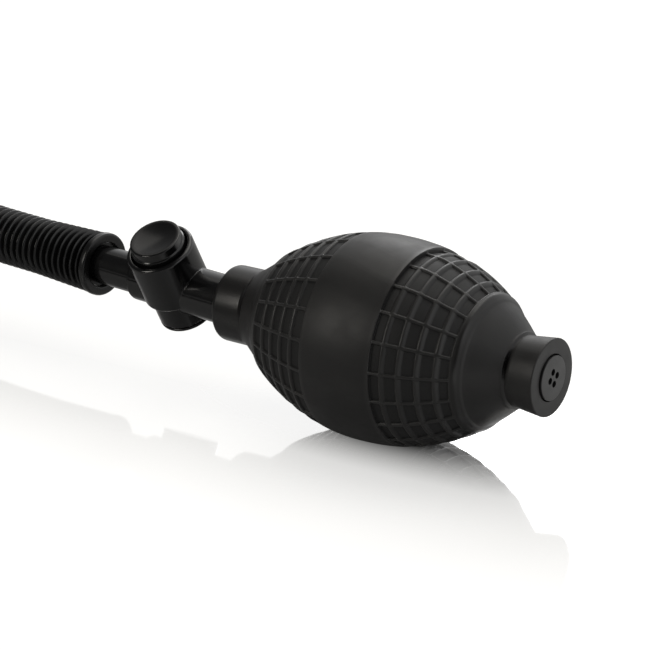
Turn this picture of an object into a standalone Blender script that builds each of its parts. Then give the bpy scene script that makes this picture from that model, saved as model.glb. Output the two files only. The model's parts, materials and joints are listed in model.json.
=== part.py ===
"""Squeeze-bulb air blower: rubber bulb, push-button release valve and ribbed hose.

Sizes are in metres. +Z is up, +X points to the tail of the bulb, and the floor is at z = 0.
"""
import math

import bmesh
import bpy
import numpy as np
from mathutils import Matrix, Vector

MM = 0.001

# Fits, edges and fineness
GAP = 0.3 * MM
OVERCUT = 1.0 * MM
EDGE_ROUND = 0.3 * MM
LEAD_ROUND = 0.6 * MM
STEP_ROUND = 1.0 * MM
ROUND_SIDES = 24
SMALL_SIDES = 16
HOLE_SIDES = 8

# Bulb: two power curves that meet at the largest ring
BULB_RADIUS = 30.4 * MM
FRONT_REACH = 56.5 * MM
FRONT_POWER = 2.0
REAR_REACH = 57.0 * MM
REAR_POWER = 2.3
BULB_WALL = 2.5 * MM
CAVITY_RINGS = 8

# Neck collar at the front of the bulb
COLLAR_WALL = 3.75 * MM
COLLAR_LENGTH = 12.0 * MM
COLLAR_ROUND = 2.2 * MM
SHOULDER_STEP = 1.8 * MM
COLLAR_GROOVE_WIDTH = 1.6 * MM
COLLAR_GROOVE_DEPTH = 0.6 * MM

# Flared tail at the rear of the bulb
TAIL_WALL = 2.5 * MM
TAIL_FLARE = 1.1 * MM
TAIL_LENGTH = 9.3 * MM
TAIL_ROUND = 0.5 * MM

# Tread bands: recessed pads between ribs
PADS_AROUND = 20
FIRST_RIB_ANGLE = math.radians(5.0)
BAND_COLUMNS = 5
PAD_PITCH = 4.5 * MM
FRONT_BAND_MARGIN = 10.2 * MM
REAR_BAND_MARGIN = 10.9 * MM
RIB_WIDTH = 0.85 * MM
PAD_DEPTH = 0.65 * MM
PAD_DRAFT = 0.3 * MM
STRAIGHT_ANGLE = math.radians(150.0)
RIM_WIDTH = 2.2 * MM
RIM_RISE = 0.25 * MM
RIM_STEP = 0.4 * MM

# Tail check valve: an insert with four holes
INLET_RADIUS = 6.6 * MM
INLET_PROUD = 0.6 * MM
INLET_PLATE = 1.8 * MM
INLET_WALL = 1.1 * MM
INLET_DEPTH = 9.0 * MM
INLET_FLANGE_STEP = 1.0 * MM
INLET_FLANGE_THICKNESS = 1.6 * MM
INLET_HOLE_RADIUS = 0.85 * MM
INLET_HOLE_CIRCLE = 1.9 * MM
INLET_HOLE_TURN = math.radians(8.0)
VALVE_HOLES = 4

# Flaps and cages of both check valves
FLAP_THICKNESS = 0.8 * MM
FLAP_LIFT = 1.0 * MM
CAGE_RIM = 0.7 * MM
CAGE_FLOOR = 1.2 * MM
CAGE_HOLE_RADIUS = 1.0 * MM
CAGE_HOLE_CIRCLE = 2.5 * MM

# Valve body: cross tube along the neck axis, places measured outwards from the collar face
NECK_BEND = math.radians(5.4)
TUBE_RADIUS = 7.45 * MM
TUBE_WALL = 1.75 * MM
TUBE_INSERT = 11.0 * MM
TUBE_BORE = 3.8 * MM
TUBE_END = 36.8 * MM
SPIGOT_RADIUS = 5.95 * MM
SPIGOT_END = 53.0 * MM
BARB_STEP = 1.2 * MM
BARB_WALL = 1.6 * MM
BARB_LENGTH = 9.3 * MM

# Neck check valve inside the end of the cross tube
OUTLET_SEAT = 2.0 * MM
OUTLET_PORT_RADIUS = 2.2 * MM

# Upright barrel, heights measured along the barrel from the cross tube's axis
BARREL_AT = 22.5 * MM
BARREL_LEAN = math.radians(26.5)
BARREL_RADIUS = 10.45 * MM
BARREL_BOTTOM = -1.2 * MM
BARREL_TOP = 15.9 * MM
BARREL_ROUND = 1.2 * MM
BARREL_WALL = 1.6 * MM
GLAND_WALL = 2.4 * MM
BOSS_WALL = 2.45 * MM
CAP_FLANGE = 1.0 * MM
CAP_FLOOR = 1.2 * MM
CAP_RIM = 1.0 * MM
CAP_RIM_HEIGHT = 2.1 * MM
CAP_ROOM = 0.5 * MM
VENT_RADIUS = 0.9 * MM
VENT_CIRCLE = 2.6 * MM

# Button
BUTTON_RISE = 4.0 * MM
BUTTON_TRAVEL = 2.5 * MM
BUTTON_CLEARANCE = 0.5 * MM
BUTTON_STEP = 0.4 * MM
BUTTON_STEP_RISE = 1.5 * MM
BUTTON_CROWN = 3.1 * MM
BUTTON_DISH = 0.35 * MM
BUTTON_LIP = 1.0 * MM
BUTTON_SKIRT_WALL = 1.3 * MM
BUTTON_SKIRT_ROOM = 1.7 * MM
BUTTON_BOSS_WALL = 0.9 * MM
BUTTON_BOSS_ROOM = 2.1 * MM

# Pin and poppet
PIN_RADIUS = 1.5 * MM
PIN_SOCKET = 0.9 * MM
PIN_HEAD_STEP = 0.5 * MM
PIN_HEAD = 0.7 * MM
SEAT_WALL = 1.0 * MM
SEAT_AIR_GAP = 1.0 * MM
POPPET_OVERLAP = 1.7 * MM
POPPET_THICKNESS = 0.9 * MM

# Stem seal, washer and spring
O_RING_CORD = 0.6 * MM
WASHER_MARGIN = 1.5 * MM
WASHER_THICKNESS = 0.7 * MM
SPRING_WIRE = 0.35 * MM
SPRING_TURNS = 5
SPRING_POINTS_PER_TURN = 10
WIRE_SIDES = 6

# Hose and its cuffs
HOSE_SIDES = 8
HOSE_WALL = 1.26 * MM
HOSE_TAIL = 1.2 * MM
HOSE_RIB_HEIGHT = 2.0 * MM
HOSE_FLARE = 0.9 * MM
HOSE_FLARE_LENGTH = 25.0 * MM
HOSE_RIB_PITCH = 2.6 * MM
BORE_POINT_SPACING = 12.0 * MM
CUFF_WALL = 2.8 * MM
CUFF_LENGTH = 2.2 * MM
CUFF_ROUND = 0.8 * MM

# Straight run of the hose from its stop on the spigot
HOSE_STRAIGHT = (0.0, 23.7 * MM, 42.7 * MM, 58.7 * MM)

# Lie of the rest of the hose: x and y from the collar face, z over the floor, in millimetres
HOSE_LAY = (
    (-138.5, 7.5, 29.3),
    (-163.0, -4.4, 26.0),
    (-182.0, -24.4, 21.5),
    (-193.3, -49.0, 16.5),
    (-195.5, -76.0, 12.2),
    (-188.3, -102.2, 9.6),
    (-172.6, -124.2, 8.8),
    (-150.3, -139.6, 8.8),
    (-124.1, -146.5, 9.2),
    (-104.2, -148.1, 9.9),
    (-82.2, -149.9, 9.9),
)

# Push-fit connector at the far end of the hose
CONNECTOR_FLANGE_STEP = 1.0 * MM
CONNECTOR_FLANGE = 2.5 * MM
NOZZLE_LENGTH = 20.0 * MM
NOZZLE_WALL = 2.45 * MM
NOZZLE_TAPER = 0.8 * MM
NOZZLE_GROOVE_AT = 6.0 * MM
NOZZLE_GROOVE_WIDTH = 2.2 * MM
NOZZLE_GROOVE_DEPTH = 1.0 * MM
NOZZLE_SEAL_CORD = 0.8 * MM

# Bulb sizes worked out from those above
BULB_SIDES = 2 * PADS_AROUND
SIDE_ANGLES = [FIRST_RIB_ANGLE + k * math.tau / BULB_SIDES for k in range(BULB_SIDES)]
AXIS_HEIGHT = BULB_RADIUS * max(-math.sin(angle) for angle in SIDE_ANGLES)
NECK_BORE = TUBE_RADIUS + GAP
COLLAR_RADIUS = NECK_BORE + COLLAR_WALL
SHOULDER_RADIUS = COLLAR_RADIUS + SHOULDER_STEP
SHOULDER_AT = -FRONT_REACH * (1 - SHOULDER_RADIUS / BULB_RADIUS) ** (1 / FRONT_POWER)
COLLAR_FACE_AT = SHOULDER_AT - COLLAR_LENGTH
INLET_FLANGE_RADIUS = INLET_RADIUS + INLET_FLANGE_STEP
TAIL_ROOT_RADIUS = INLET_FLANGE_RADIUS + GAP + TAIL_WALL
TAIL_RADIUS = TAIL_ROOT_RADIUS + TAIL_FLARE
TAIL_ROOT_AT = REAR_REACH * (1 - (TAIL_ROOT_RADIUS + RIM_STEP) / BULB_RADIUS) ** (1 / REAR_POWER)
TAIL_FACE_AT = TAIL_ROOT_AT + TAIL_LENGTH
BAND_LENGTH = BAND_COLUMNS * PAD_PITCH
FRONT_BAND_START = SHOULDER_AT + FRONT_BAND_MARGIN
FRONT_BAND_END = FRONT_BAND_START + BAND_LENGTH
REAR_BAND_END = TAIL_ROOT_AT - REAR_BAND_MARGIN
REAR_BAND_START = REAR_BAND_END - BAND_LENGTH

# Check valve sizes worked out from those above
INLET_FACE_AT = TAIL_FACE_AT + INLET_PROUD
INLET_BACK_AT = INLET_FACE_AT - INLET_DEPTH
INLET_PLATE_AT = INLET_FACE_AT - INLET_PLATE
INLET_BORE = INLET_RADIUS - INLET_WALL
FLAP_ROOM = FLAP_THICKNESS + FLAP_LIFT + 2 * GAP
OUTLET_BORE = TUBE_RADIUS - TUBE_WALL
OUTLET_RADIUS = OUTLET_BORE - GAP
OUTLET_SEAT_AT = -TUBE_INSERT + GAP + OUTLET_SEAT
OUTLET_SHOULDER_AT = OUTLET_SEAT_AT + FLAP_ROOM + CAGE_FLOOR + GAP

# Release valve sizes worked out from those above
STEM_HOLE = PIN_RADIUS + GAP
O_RING_RADIUS = STEM_HOLE + O_RING_CORD
GLAND_RADIUS = O_RING_RADIUS + O_RING_CORD + GAP
GLAND_FLOOR = TUBE_BORE + GLAND_WALL
BARREL_FLOOR = GLAND_FLOOR + 2 * O_RING_CORD + 2 * GAP
BUTTON_BORE = BARREL_RADIUS - BARREL_WALL
WASHER_TOP = BARREL_FLOOR + GAP + WASHER_THICKNESS
SKIRT_RADIUS = BUTTON_BORE - BUTTON_CLEARANCE
SKIRT_BOTTOM = BARREL_FLOOR + BUTTON_TRAVEL + BUTTON_SKIRT_ROOM
BUTTON_RADIUS = SKIRT_RADIUS - BUTTON_STEP
BUTTON_TOP = BARREL_TOP + BUTTON_RISE
BUTTON_UNDERSIDE = BUTTON_TOP - BUTTON_CROWN
BUTTON_BOSS_RADIUS = STEM_HOLE + BUTTON_BOSS_WALL
BUTTON_BOSS_BOTTOM = WASHER_TOP + BUTTON_TRAVEL + BUTTON_BOSS_ROOM
PIN_SOCKET_TOP = BUTTON_UNDERSIDE + PIN_SOCKET
SPRING_RADIUS = BUTTON_BOSS_RADIUS + GAP + SPRING_WIRE
WASHER_RADIUS = SPRING_RADIUS + SPRING_WIRE + WASHER_MARGIN
SEAT_HOLE_RADIUS = PIN_RADIUS + SEAT_AIR_GAP
SEAT_AT = -TUBE_BORE - SEAT_WALL
POPPET_RADIUS = SEAT_HOLE_RADIUS + POPPET_OVERLAP
POPPET_BOTTOM = SEAT_AT - GAP - POPPET_THICKNESS
PIN_HEAD_RADIUS = SEAT_HOLE_RADIUS + PIN_HEAD_STEP
PIN_HEAD_TOP = POPPET_BOTTOM - GAP
PIN_HEAD_BOTTOM = PIN_HEAD_TOP - PIN_HEAD
CAP_FLOOR_AT = PIN_HEAD_BOTTOM - BUTTON_TRAVEL - GAP
CAP_BOTTOM = CAP_FLOOR_AT - CAP_FLOOR
CAP_SHOULDER = CAP_BOTTOM + CAP_FLANGE
CAP_BORE = POPPET_RADIUS + CAP_ROOM
CAP_PLUG_RADIUS = CAP_BORE + CAP_RIM
CHAMBER_RADIUS = CAP_PLUG_RADIUS + GAP
BOSS_RADIUS = CHAMBER_RADIUS + BOSS_WALL
BOSS_BOTTOM = CAP_SHOULDER + GAP

# Hose sizes worked out from those above
BARB_RADIUS = SPIGOT_RADIUS - BARB_STEP
BARB_BORE = BARB_RADIUS - BARB_WALL
BARB_END = SPIGOT_END + BARB_LENGTH
HOSE_BORE_RADIUS = (BARB_RADIUS + GAP) / math.cos(math.pi / HOSE_SIDES)
HOSE_TAIL_RADIUS = HOSE_BORE_RADIUS + HOSE_WALL
HOSE_CREST_RADIUS = HOSE_TAIL_RADIUS + HOSE_RIB_HEIGHT
CUFF_BORE = HOSE_TAIL_RADIUS + GAP
CUFF_RADIUS = CUFF_BORE + CUFF_WALL
CONNECTOR_FLANGE_RADIUS = CUFF_RADIUS - CONNECTOR_FLANGE_STEP
NOZZLE_ROOT_RADIUS = BARB_BORE + NOZZLE_WALL

# Places in the world: the bulb and valve stand centred over the origin
TIP_REACH = BARB_END * math.cos(NECK_BEND) + BARB_RADIUS * math.sin(NECK_BEND)
BULB_X = (TIP_REACH - COLLAR_FACE_AT - INLET_FACE_AT) / 2
NECK_POINT = (BULB_X + COLLAR_FACE_AT, 0.0, AXIS_HEIGHT)


def clear_scene():
    for item in list(bpy.data.objects):
        bpy.data.objects.remove(item)


def make_material(name, colour, roughness, metallic=0.0):
    material = bpy.data.materials.new(name)
    material.use_nodes = True
    shader = material.node_tree.nodes["Principled BSDF"]
    shader.inputs["Base Color"].default_value = (*colour, 1.0)
    shader.inputs["Roughness"].default_value = roughness
    shader.inputs["Metallic"].default_value = metallic
    return material


def make_axis(name, origin, along, side):
    """Empty whose local Z runs along an axis and whose local X points to one side of it."""
    z_axis = Vector(along).normalized()
    y_axis = z_axis.cross(Vector(side)).normalized()
    x_axis = y_axis.cross(z_axis)
    turn = Matrix((x_axis, y_axis, z_axis)).transposed().to_4x4()
    empty = bpy.data.objects.new(name, None)
    empty.matrix_world = Matrix.Translation(origin) @ turn
    bpy.context.collection.objects.link(empty)
    return empty


def add_object(name, form, material, parent=None):
    """Turn a bmesh into a smooth-shaded object."""
    bmesh.ops.recalc_face_normals(form, faces=form.faces)
    mesh = bpy.data.meshes.new(name)
    form.to_mesh(mesh)
    form.free()
    mesh.shade_smooth()
    mesh.set_sharp_from_angle(angle=math.radians(35))
    mesh.materials.append(material)
    item = bpy.data.objects.new(name, mesh)
    item.parent = parent
    bpy.context.collection.objects.link(item)
    return item


def soften(corners, steps=2):
    """Round the (radius, height, fillet) corners of a closed outline into (radius, height) points."""
    outline = []
    for index, (radius, height, fillet) in enumerate(corners):
        corner = Vector((radius, height))
        back = Vector(corners[index - 1][:2]) - corner
        ahead = Vector(corners[(index + 1) % len(corners)][:2]) - corner
        if fillet == 0 or back.length == 0 or ahead.length == 0:
            outline.append((radius, height))
            continue
        half = back.angle(ahead) / 2
        run = min(fillet / math.tan(half), 0.45 * back.length, 0.45 * ahead.length)
        start = corner + back.normalized() * run
        end = corner + ahead.normalized() * run
        for step in range(steps + 1):
            share = step / steps
            near = start.lerp(corner, share).lerp(corner.lerp(end, share), share)
            outline.append((near.x, near.y))
    return outline


def turn_form(outline, angles):
    """Spin a closed (radius, height) outline about local Z; returns the bmesh, its rings and its walls."""
    form = bmesh.new()
    rings = []
    for radius, height in outline:
        spots = angles if radius > 0 else angles[:1]
        rings.append([form.verts.new((radius * math.cos(a), radius * math.sin(a), height)) for a in spots])
    walls = []
    for lower, upper in zip(rings, rings[1:] + rings[:1]):
        wall = []
        for k in range(len(angles)):
            after = (k + 1) % len(angles)
            loop = [lower[k % len(lower)], lower[after % len(lower)],
                    upper[after % len(upper)], upper[k % len(upper)]]
            loop = list(dict.fromkeys(loop))
            if len(loop) > 2:
                wall.append(form.faces.new(loop))
        walls.append(wall)
    return form, rings, walls


def turned(name, corners, material, parent, sides=SMALL_SIDES):
    """Object spun from (radius, height, fillet) corners."""
    angles = [k * math.tau / sides for k in range(sides)]
    form, _, _ = turn_form(soften(corners), angles)
    return add_object(name, form, material, parent)


def as_tool(item):
    item.hide_render = True
    item.display_type = "WIRE"
    return item


def combine(item, tool, operation):
    """Join or cut an object with a hidden tool object."""
    modifier = item.modifiers.new(tool.name, "BOOLEAN")
    modifier.operation = operation
    modifier.solver = "EXACT"
    modifier.object = as_tool(tool)


def drill_holes(item, circle, radius, low, high, material, parent, turn=math.pi / VALVE_HOLES):
    """Cut a ring of round holes along the parent's Z axis, the first of them turned from local X."""
    form = bmesh.new()
    for hole in range(VALVE_HOLES):
        angle = turn + hole * math.tau / VALVE_HOLES
        place = Matrix.Translation((circle * math.cos(angle), circle * math.sin(angle), (low + high) / 2))
        bmesh.ops.create_cone(form, cap_ends=True, segments=HOLE_SIDES, radius1=radius, radius2=radius,
                              depth=high - low, matrix=place)
    combine(item, add_object(item.name + "_holes", form, material, parent), "DIFFERENCE")


def torus_corners(ring_radius, cord_radius, height, steps=8):
    """Corners of a round cord bent into a ring."""
    turns = [k * math.tau / steps for k in range(steps)]
    return [(ring_radius + cord_radius * math.cos(a), height + cord_radius * math.sin(a), 0) for a in turns]


def smooth_route(points, samples_per_span=24):
    """Dense points on a Catmull-Rom curve through the given points."""
    knots = np.array(points, dtype=float)
    first = 2 * knots[0] - knots[1]
    last = 2 * knots[-1] - knots[-2]
    knots = np.vstack([first, knots, last])
    share = np.linspace(0, 1, samples_per_span, endpoint=False)[:, None]
    spans = []
    for a, b, c, d in zip(knots, knots[1:], knots[2:], knots[3:]):
        spans.append(0.5 * (2 * b + (c - a) * share + (2 * a - 5 * b + 4 * c - d) * share ** 2
                            + (3 * b - a - 3 * c + d) * share ** 3))
    return np.vstack(spans + [knots[-2:-1]])


def read_route(route, distances):
    """Points of a dense route at the given distances from its start."""
    steps = np.linalg.norm(np.diff(route, axis=0), axis=1)
    travelled = np.concatenate([[0], np.cumsum(steps)])
    return np.stack([np.interp(distances, travelled, route[:, axis]) for axis in range(3)], axis=1)


def route_length(route):
    return float(np.linalg.norm(np.diff(route, axis=0), axis=1).sum())


def tube(name, points, radii, sides, material, parent=None):
    """Closed tube of varying radius along a polyline."""
    data = bpy.data.curves.new(name, "CURVE")
    data.dimensions = "3D"
    data.bevel_depth = max(radii)
    data.bevel_resolution = (sides - 4) // 2
    data.use_fill_caps = True
    spline = data.splines.new("POLY")
    spline.points.add(len(points) - 1)
    for knot, point, radius in zip(spline.points, points, radii):
        knot.co = (*point, 1.0)
        knot.radius = radius / data.bevel_depth
    guide = bpy.data.objects.new(name + "_path", data)
    bpy.context.collection.objects.link(guide)
    solid = bpy.data.meshes.new_from_object(guide.evaluated_get(bpy.context.evaluated_depsgraph_get()))
    bpy.data.objects.remove(guide)
    form = bmesh.new()
    form.from_mesh(solid)
    bmesh.ops.remove_doubles(form, verts=form.verts, dist=0.001 * MM)
    return add_object(name, form, material, parent)


def least_gap(points, wire_radius, apart):
    """Smallest clear space between stretches of a wire that lie more than a number of points apart."""
    spots = np.array(points)
    spread = np.linalg.norm(spots[:, None] - spots[None, :], axis=2)
    index = np.arange(len(spots))
    far = np.abs(index[:, None] - index[None, :]) > apart
    return float(spread[far].min()) - 2 * wire_radius


def bulb_radius(place):
    """Outer radius of the bulb at a place measured from its largest ring."""
    reach, power = (REAR_REACH, REAR_POWER) if place > 0 else (FRONT_REACH, FRONT_POWER)
    return BULB_RADIUS * (1 - (abs(place) / reach) ** power)


def band_rows(start, end):
    return [start + (end - start) * k / BAND_COLUMNS for k in range(BAND_COLUMNS + 1)]


def bulb_outside():
    """Outline of the bulb's outside from the collar to the tail face, as (radius, place) points."""
    groove_back = SHOULDER_AT - COLLAR_GROOVE_WIDTH / 2
    groove_front = groove_back - COLLAR_GROOVE_WIDTH
    collar = soften([
        (COLLAR_RADIUS / 2, COLLAR_FACE_AT, 0),
        (COLLAR_RADIUS, COLLAR_FACE_AT, COLLAR_ROUND),
        (COLLAR_RADIUS, groove_front, 0),
        (COLLAR_RADIUS - COLLAR_GROOVE_DEPTH, groove_front, 0),
        (COLLAR_RADIUS - COLLAR_GROOVE_DEPTH, groove_back, 0),
        (SHOULDER_RADIUS, SHOULDER_AT, 0),
    ], steps=3)[1:]
    front = [(SHOULDER_AT + FRONT_BAND_START) / 2] + band_rows(FRONT_BAND_START, FRONT_BAND_END)
    middle = [FRONT_BAND_END / 2, 0.0, REAR_BAND_START / 2]
    rear = band_rows(REAR_BAND_START, REAR_BAND_END)
    rim_top = REAR_BAND_END + RIM_WIDTH / 2
    rim_end = REAR_BAND_END + RIM_WIDTH
    body = [(bulb_radius(place), place) for place in front + middle + rear]
    body += [(bulb_radius(rim_top) + RIM_RISE, rim_top), (bulb_radius(rim_end), rim_end)]
    slope = [rim_end + (TAIL_ROOT_AT - rim_end) * k / 3 for k in range(4)]
    body += [(bulb_radius(place) - RIM_STEP, place + RIM_STEP * (k == 0)) for k, place in enumerate(slope)]
    tail = [(TAIL_RADIUS, TAIL_FACE_AT - TAIL_ROUND), (TAIL_RADIUS - TAIL_ROUND, TAIL_FACE_AT)]
    return collar + body + tail


def bulb_inside():
    """Outline of the bulb's inside from the tail face back to the collar face."""
    recess_front = INLET_BACK_AT + INLET_FLANGE_THICKNESS + GAP
    recess_back = INLET_BACK_AT - GAP
    bore = INLET_RADIUS + GAP
    recess = INLET_FLANGE_RADIUS + GAP
    lip = INLET_BORE + GAP
    rear_end = recess_back - BULB_WALL / 2
    front_end = SHOULDER_AT + BULB_WALL
    tail = [(bore, TAIL_FACE_AT), (bore, recess_front), (recess, recess_front), (recess, recess_back),
            (lip, recess_back), (lip, rear_end)]
    places = np.linspace(rear_end - BULB_WALL, front_end, CAVITY_RINGS)
    cavity = [(max(bulb_radius(place) - BULB_WALL, lip), place) for place in places]
    neck = [(NECK_BORE, front_end - BULB_WALL / 2), (NECK_BORE, COLLAR_FACE_AT)]
    return tail + cavity + neck


def press_pads(form, walls, first_row, shift):
    """Sink a band of pads, each two sides wide, between ribs that stay at the bulb's surface."""
    pads = []
    for wall in walls[first_row:first_row + BAND_COLUMNS]:
        for pad in range(PADS_AROUND):
            pair = [wall[(2 * pad + shift + half) % BULB_SIDES] for half in range(2)]
            pads += bmesh.ops.dissolve_faces(form, faces=pair)["region"]
    bmesh.ops.inset_individual(form, faces=pads, thickness=RIB_WIDTH / 2, use_even_offset=True)
    middles = [(loop.vert, pad) for pad in pads for loop in pad.loops if loop.calc_angle() > STRAIGHT_ANGLE]
    spokes = [edge for vert, pad in middles for edge in vert.link_edges if pad not in edge.link_faces]
    bmesh.ops.dissolve_edges(form, edges=spokes, use_verts=False)
    bmesh.ops.dissolve_verts(form, verts=[vert for vert, _ in middles])
    bmesh.ops.inset_individual(form, faces=pads, thickness=PAD_DRAFT, depth=-PAD_DEPTH, use_even_offset=True)


def make_bulb(rubber, bulb_axis):
    outside = bulb_outside()
    outline = outside + bulb_inside()
    form, rings, walls = turn_form(outline, SIDE_ANGLES)
    places = [place for _, place in outside]
    bend = Matrix.Rotation(-NECK_BEND, 3, "Y")
    pivot = Vector((0, 0, COLLAR_FACE_AT))
    for vert in rings[-2] + rings[-1]:
        vert.co = bend @ (vert.co - pivot) + pivot
    front_row = places.index(FRONT_BAND_START)
    rear_row = places.index(REAR_BAND_START)
    press_pads(form, walls, front_row, 0)
    press_pads(form, walls, rear_row, 1)
    return add_object("bulb", form, rubber, bulb_axis)


def make_check_valve(names, face, sign, rim_radius, material, flap_material, parent):
    """Flap on a face, and the cage that lets it lift; sign is the way the flap lifts along local Z."""
    flap_name, cage_name = names
    flap_radius = rim_radius - CAGE_RIM - GAP
    near = face + sign * GAP
    turned(flap_name, [
        (0, near, 0),
        (flap_radius, near, 0),
        (flap_radius, near + sign * FLAP_THICKNESS, 0),
        (0, near + sign * FLAP_THICKNESS, 0),
    ], flap_material, parent)
    floor = face + sign * FLAP_ROOM
    back = floor + sign * CAGE_FLOOR
    cage = turned(cage_name, [
        (0, floor, 0),
        (rim_radius - CAGE_RIM, floor, 0),
        (rim_radius - CAGE_RIM, near, 0),
        (rim_radius, near, 0),
        (rim_radius, back, 0),
        (0, back, 0),
    ], material, parent)
    low, high = sorted((floor - sign * OVERCUT, back + sign * OVERCUT))
    drill_holes(cage, CAGE_HOLE_CIRCLE, CAGE_HOLE_RADIUS, low, high, material, parent)


def make_inlet(plastic, rubber, bulb_axis):
    """Check valve that lets air in through the four holes of the tail insert."""
    flange = INLET_BACK_AT + INLET_FLANGE_THICKNESS
    housing = turned("inlet_housing", [
        (0, INLET_FACE_AT, 0),
        (INLET_RADIUS, INLET_FACE_AT, EDGE_ROUND),
        (INLET_RADIUS, flange, 0),
        (INLET_FLANGE_RADIUS, flange, 0),
        (INLET_FLANGE_RADIUS, INLET_BACK_AT, 0),
        (INLET_BORE, INLET_BACK_AT, 0),
        (INLET_BORE, INLET_PLATE_AT, 0),
        (0, INLET_PLATE_AT, 0),
    ], plastic, bulb_axis, ROUND_SIDES)
    drill_holes(housing, INLET_HOLE_CIRCLE, INLET_HOLE_RADIUS, INLET_PLATE_AT - OVERCUT,
                INLET_FACE_AT + OVERCUT, plastic, bulb_axis, INLET_HOLE_TURN)
    make_check_valve(("inlet_flap", "inlet_retainer"), INLET_PLATE_AT, -1, INLET_BORE - GAP,
                     plastic, rubber, bulb_axis)


def make_outlet(plastic, rubber, valve_axis):
    """Check valve that lets air out of the bulb into the cross tube."""
    back = -TUBE_INSERT + GAP
    turned("outlet_seat", [
        (OUTLET_PORT_RADIUS, back, EDGE_ROUND),
        (OUTLET_RADIUS, back, 0),
        (OUTLET_RADIUS, OUTLET_SEAT_AT, 0),
        (OUTLET_PORT_RADIUS, OUTLET_SEAT_AT, 0),
    ], plastic, valve_axis)
    make_check_valve(("outlet_flap", "outlet_cage"), OUTLET_SEAT_AT, 1, OUTLET_RADIUS,
                     plastic, rubber, valve_axis)


def make_valve_body(plastic, valve_axis, barrel_axis):
    """Cross tube and upright barrel in one moulding, bored both ways."""
    body = turned("valve_body", [
        (0, -TUBE_INSERT, 0),
        (TUBE_RADIUS, -TUBE_INSERT, LEAD_ROUND),
        (TUBE_RADIUS, TUBE_END, STEP_ROUND),
        (SPIGOT_RADIUS, TUBE_END, EDGE_ROUND),
        (SPIGOT_RADIUS, SPIGOT_END, 0),
        (BARB_RADIUS, SPIGOT_END, 0),
        (BARB_RADIUS, BARB_END, LEAD_ROUND),
        (0, BARB_END, 0),
    ], plastic, valve_axis, ROUND_SIDES)
    barrel = turned("barrel_form", [
        (0, BOSS_BOTTOM, 0),
        (BOSS_RADIUS, BOSS_BOTTOM, 0),
        (BOSS_RADIUS, BARREL_BOTTOM, EDGE_ROUND),
        (BARREL_RADIUS, BARREL_BOTTOM, STEP_ROUND),
        (BARREL_RADIUS, BARREL_TOP, BARREL_ROUND),
        (0, BARREL_TOP, 0),
    ], plastic, barrel_axis, ROUND_SIDES)
    passage = turned("passage_form", [
        (0, -TUBE_INSERT - OVERCUT, 0),
        (OUTLET_BORE, -TUBE_INSERT - OVERCUT, 0),
        (OUTLET_BORE, OUTLET_SHOULDER_AT, 0),
        (TUBE_BORE, OUTLET_SHOULDER_AT, 0),
        (TUBE_BORE, TUBE_END, 0),
        (BARB_BORE, TUBE_END, 0),
        (BARB_BORE, BARB_END + OVERCUT, 0),
        (0, BARB_END + OVERCUT, 0),
    ], plastic, valve_axis)
    well = turned("well_form", [
        (0, BARREL_TOP + OVERCUT, 0),
        (BUTTON_BORE, BARREL_TOP + OVERCUT, 0),
        (BUTTON_BORE, BARREL_FLOOR, 0),
        (GLAND_RADIUS, BARREL_FLOOR, 0),
        (GLAND_RADIUS, GLAND_FLOOR, 0),
        (STEM_HOLE, GLAND_FLOOR, 0),
        (STEM_HOLE, 0, 0),
        (SEAT_HOLE_RADIUS, 0, 0),
        (SEAT_HOLE_RADIUS, SEAT_AT, 0),
        (CHAMBER_RADIUS, SEAT_AT, 0),
        (CHAMBER_RADIUS, BOSS_BOTTOM - OVERCUT, 0),
        (0, BOSS_BOTTOM - OVERCUT, 0),
    ], plastic, barrel_axis)
    combine(body, barrel, "UNION")
    combine(body, passage, "DIFFERENCE")
    combine(body, well, "DIFFERENCE")


def make_button(plastic, barrel_axis):
    """Dished push button with a hollow skirt and a socket for the pin."""
    dish = BUTTON_TOP - BUTTON_DISH
    step = BARREL_TOP + BUTTON_STEP_RISE
    turned("push_button", [
        (0, dish, 0),
        (BUTTON_RADIUS - 2 * BUTTON_LIP, dish, 0),
        (BUTTON_RADIUS - BUTTON_LIP, BUTTON_TOP, LEAD_ROUND),
        (BUTTON_RADIUS, dish, LEAD_ROUND),
        (BUTTON_RADIUS, step, 0),
        (SKIRT_RADIUS, step - BUTTON_DISH, EDGE_ROUND),
        (SKIRT_RADIUS, SKIRT_BOTTOM, 0),
        (SKIRT_RADIUS - BUTTON_SKIRT_WALL, SKIRT_BOTTOM, 0),
        (SKIRT_RADIUS - BUTTON_SKIRT_WALL, BUTTON_UNDERSIDE, 0),
        (BUTTON_BOSS_RADIUS, BUTTON_UNDERSIDE, 0),
        (BUTTON_BOSS_RADIUS, BUTTON_BOSS_BOTTOM, 0),
        (STEM_HOLE, BUTTON_BOSS_BOTTOM, 0),
        (STEM_HOLE, PIN_SOCKET_TOP, 0),
        (0, PIN_SOCKET_TOP, 0),
    ], plastic, barrel_axis, ROUND_SIDES)


def make_pin(steel, rubber, barrel_axis):
    """Pin with a head that carries the poppet seal under its seat."""
    turned("valve_pin", [
        (0, PIN_SOCKET_TOP - GAP, 0),
        (PIN_RADIUS, PIN_SOCKET_TOP - GAP, EDGE_ROUND),
        (PIN_RADIUS, PIN_HEAD_TOP, 0),
        (PIN_HEAD_RADIUS, PIN_HEAD_TOP, 0),
        (PIN_HEAD_RADIUS, PIN_HEAD_BOTTOM, EDGE_ROUND),
        (0, PIN_HEAD_BOTTOM, 0),
    ], steel, barrel_axis)
    turned("poppet_seal", [
        (STEM_HOLE, POPPET_BOTTOM, 0),
        (POPPET_RADIUS, POPPET_BOTTOM, 0),
        (POPPET_RADIUS, SEAT_AT - GAP, 0),
        (STEM_HOLE, SEAT_AT - GAP, 0),
    ], rubber, barrel_axis)


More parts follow.
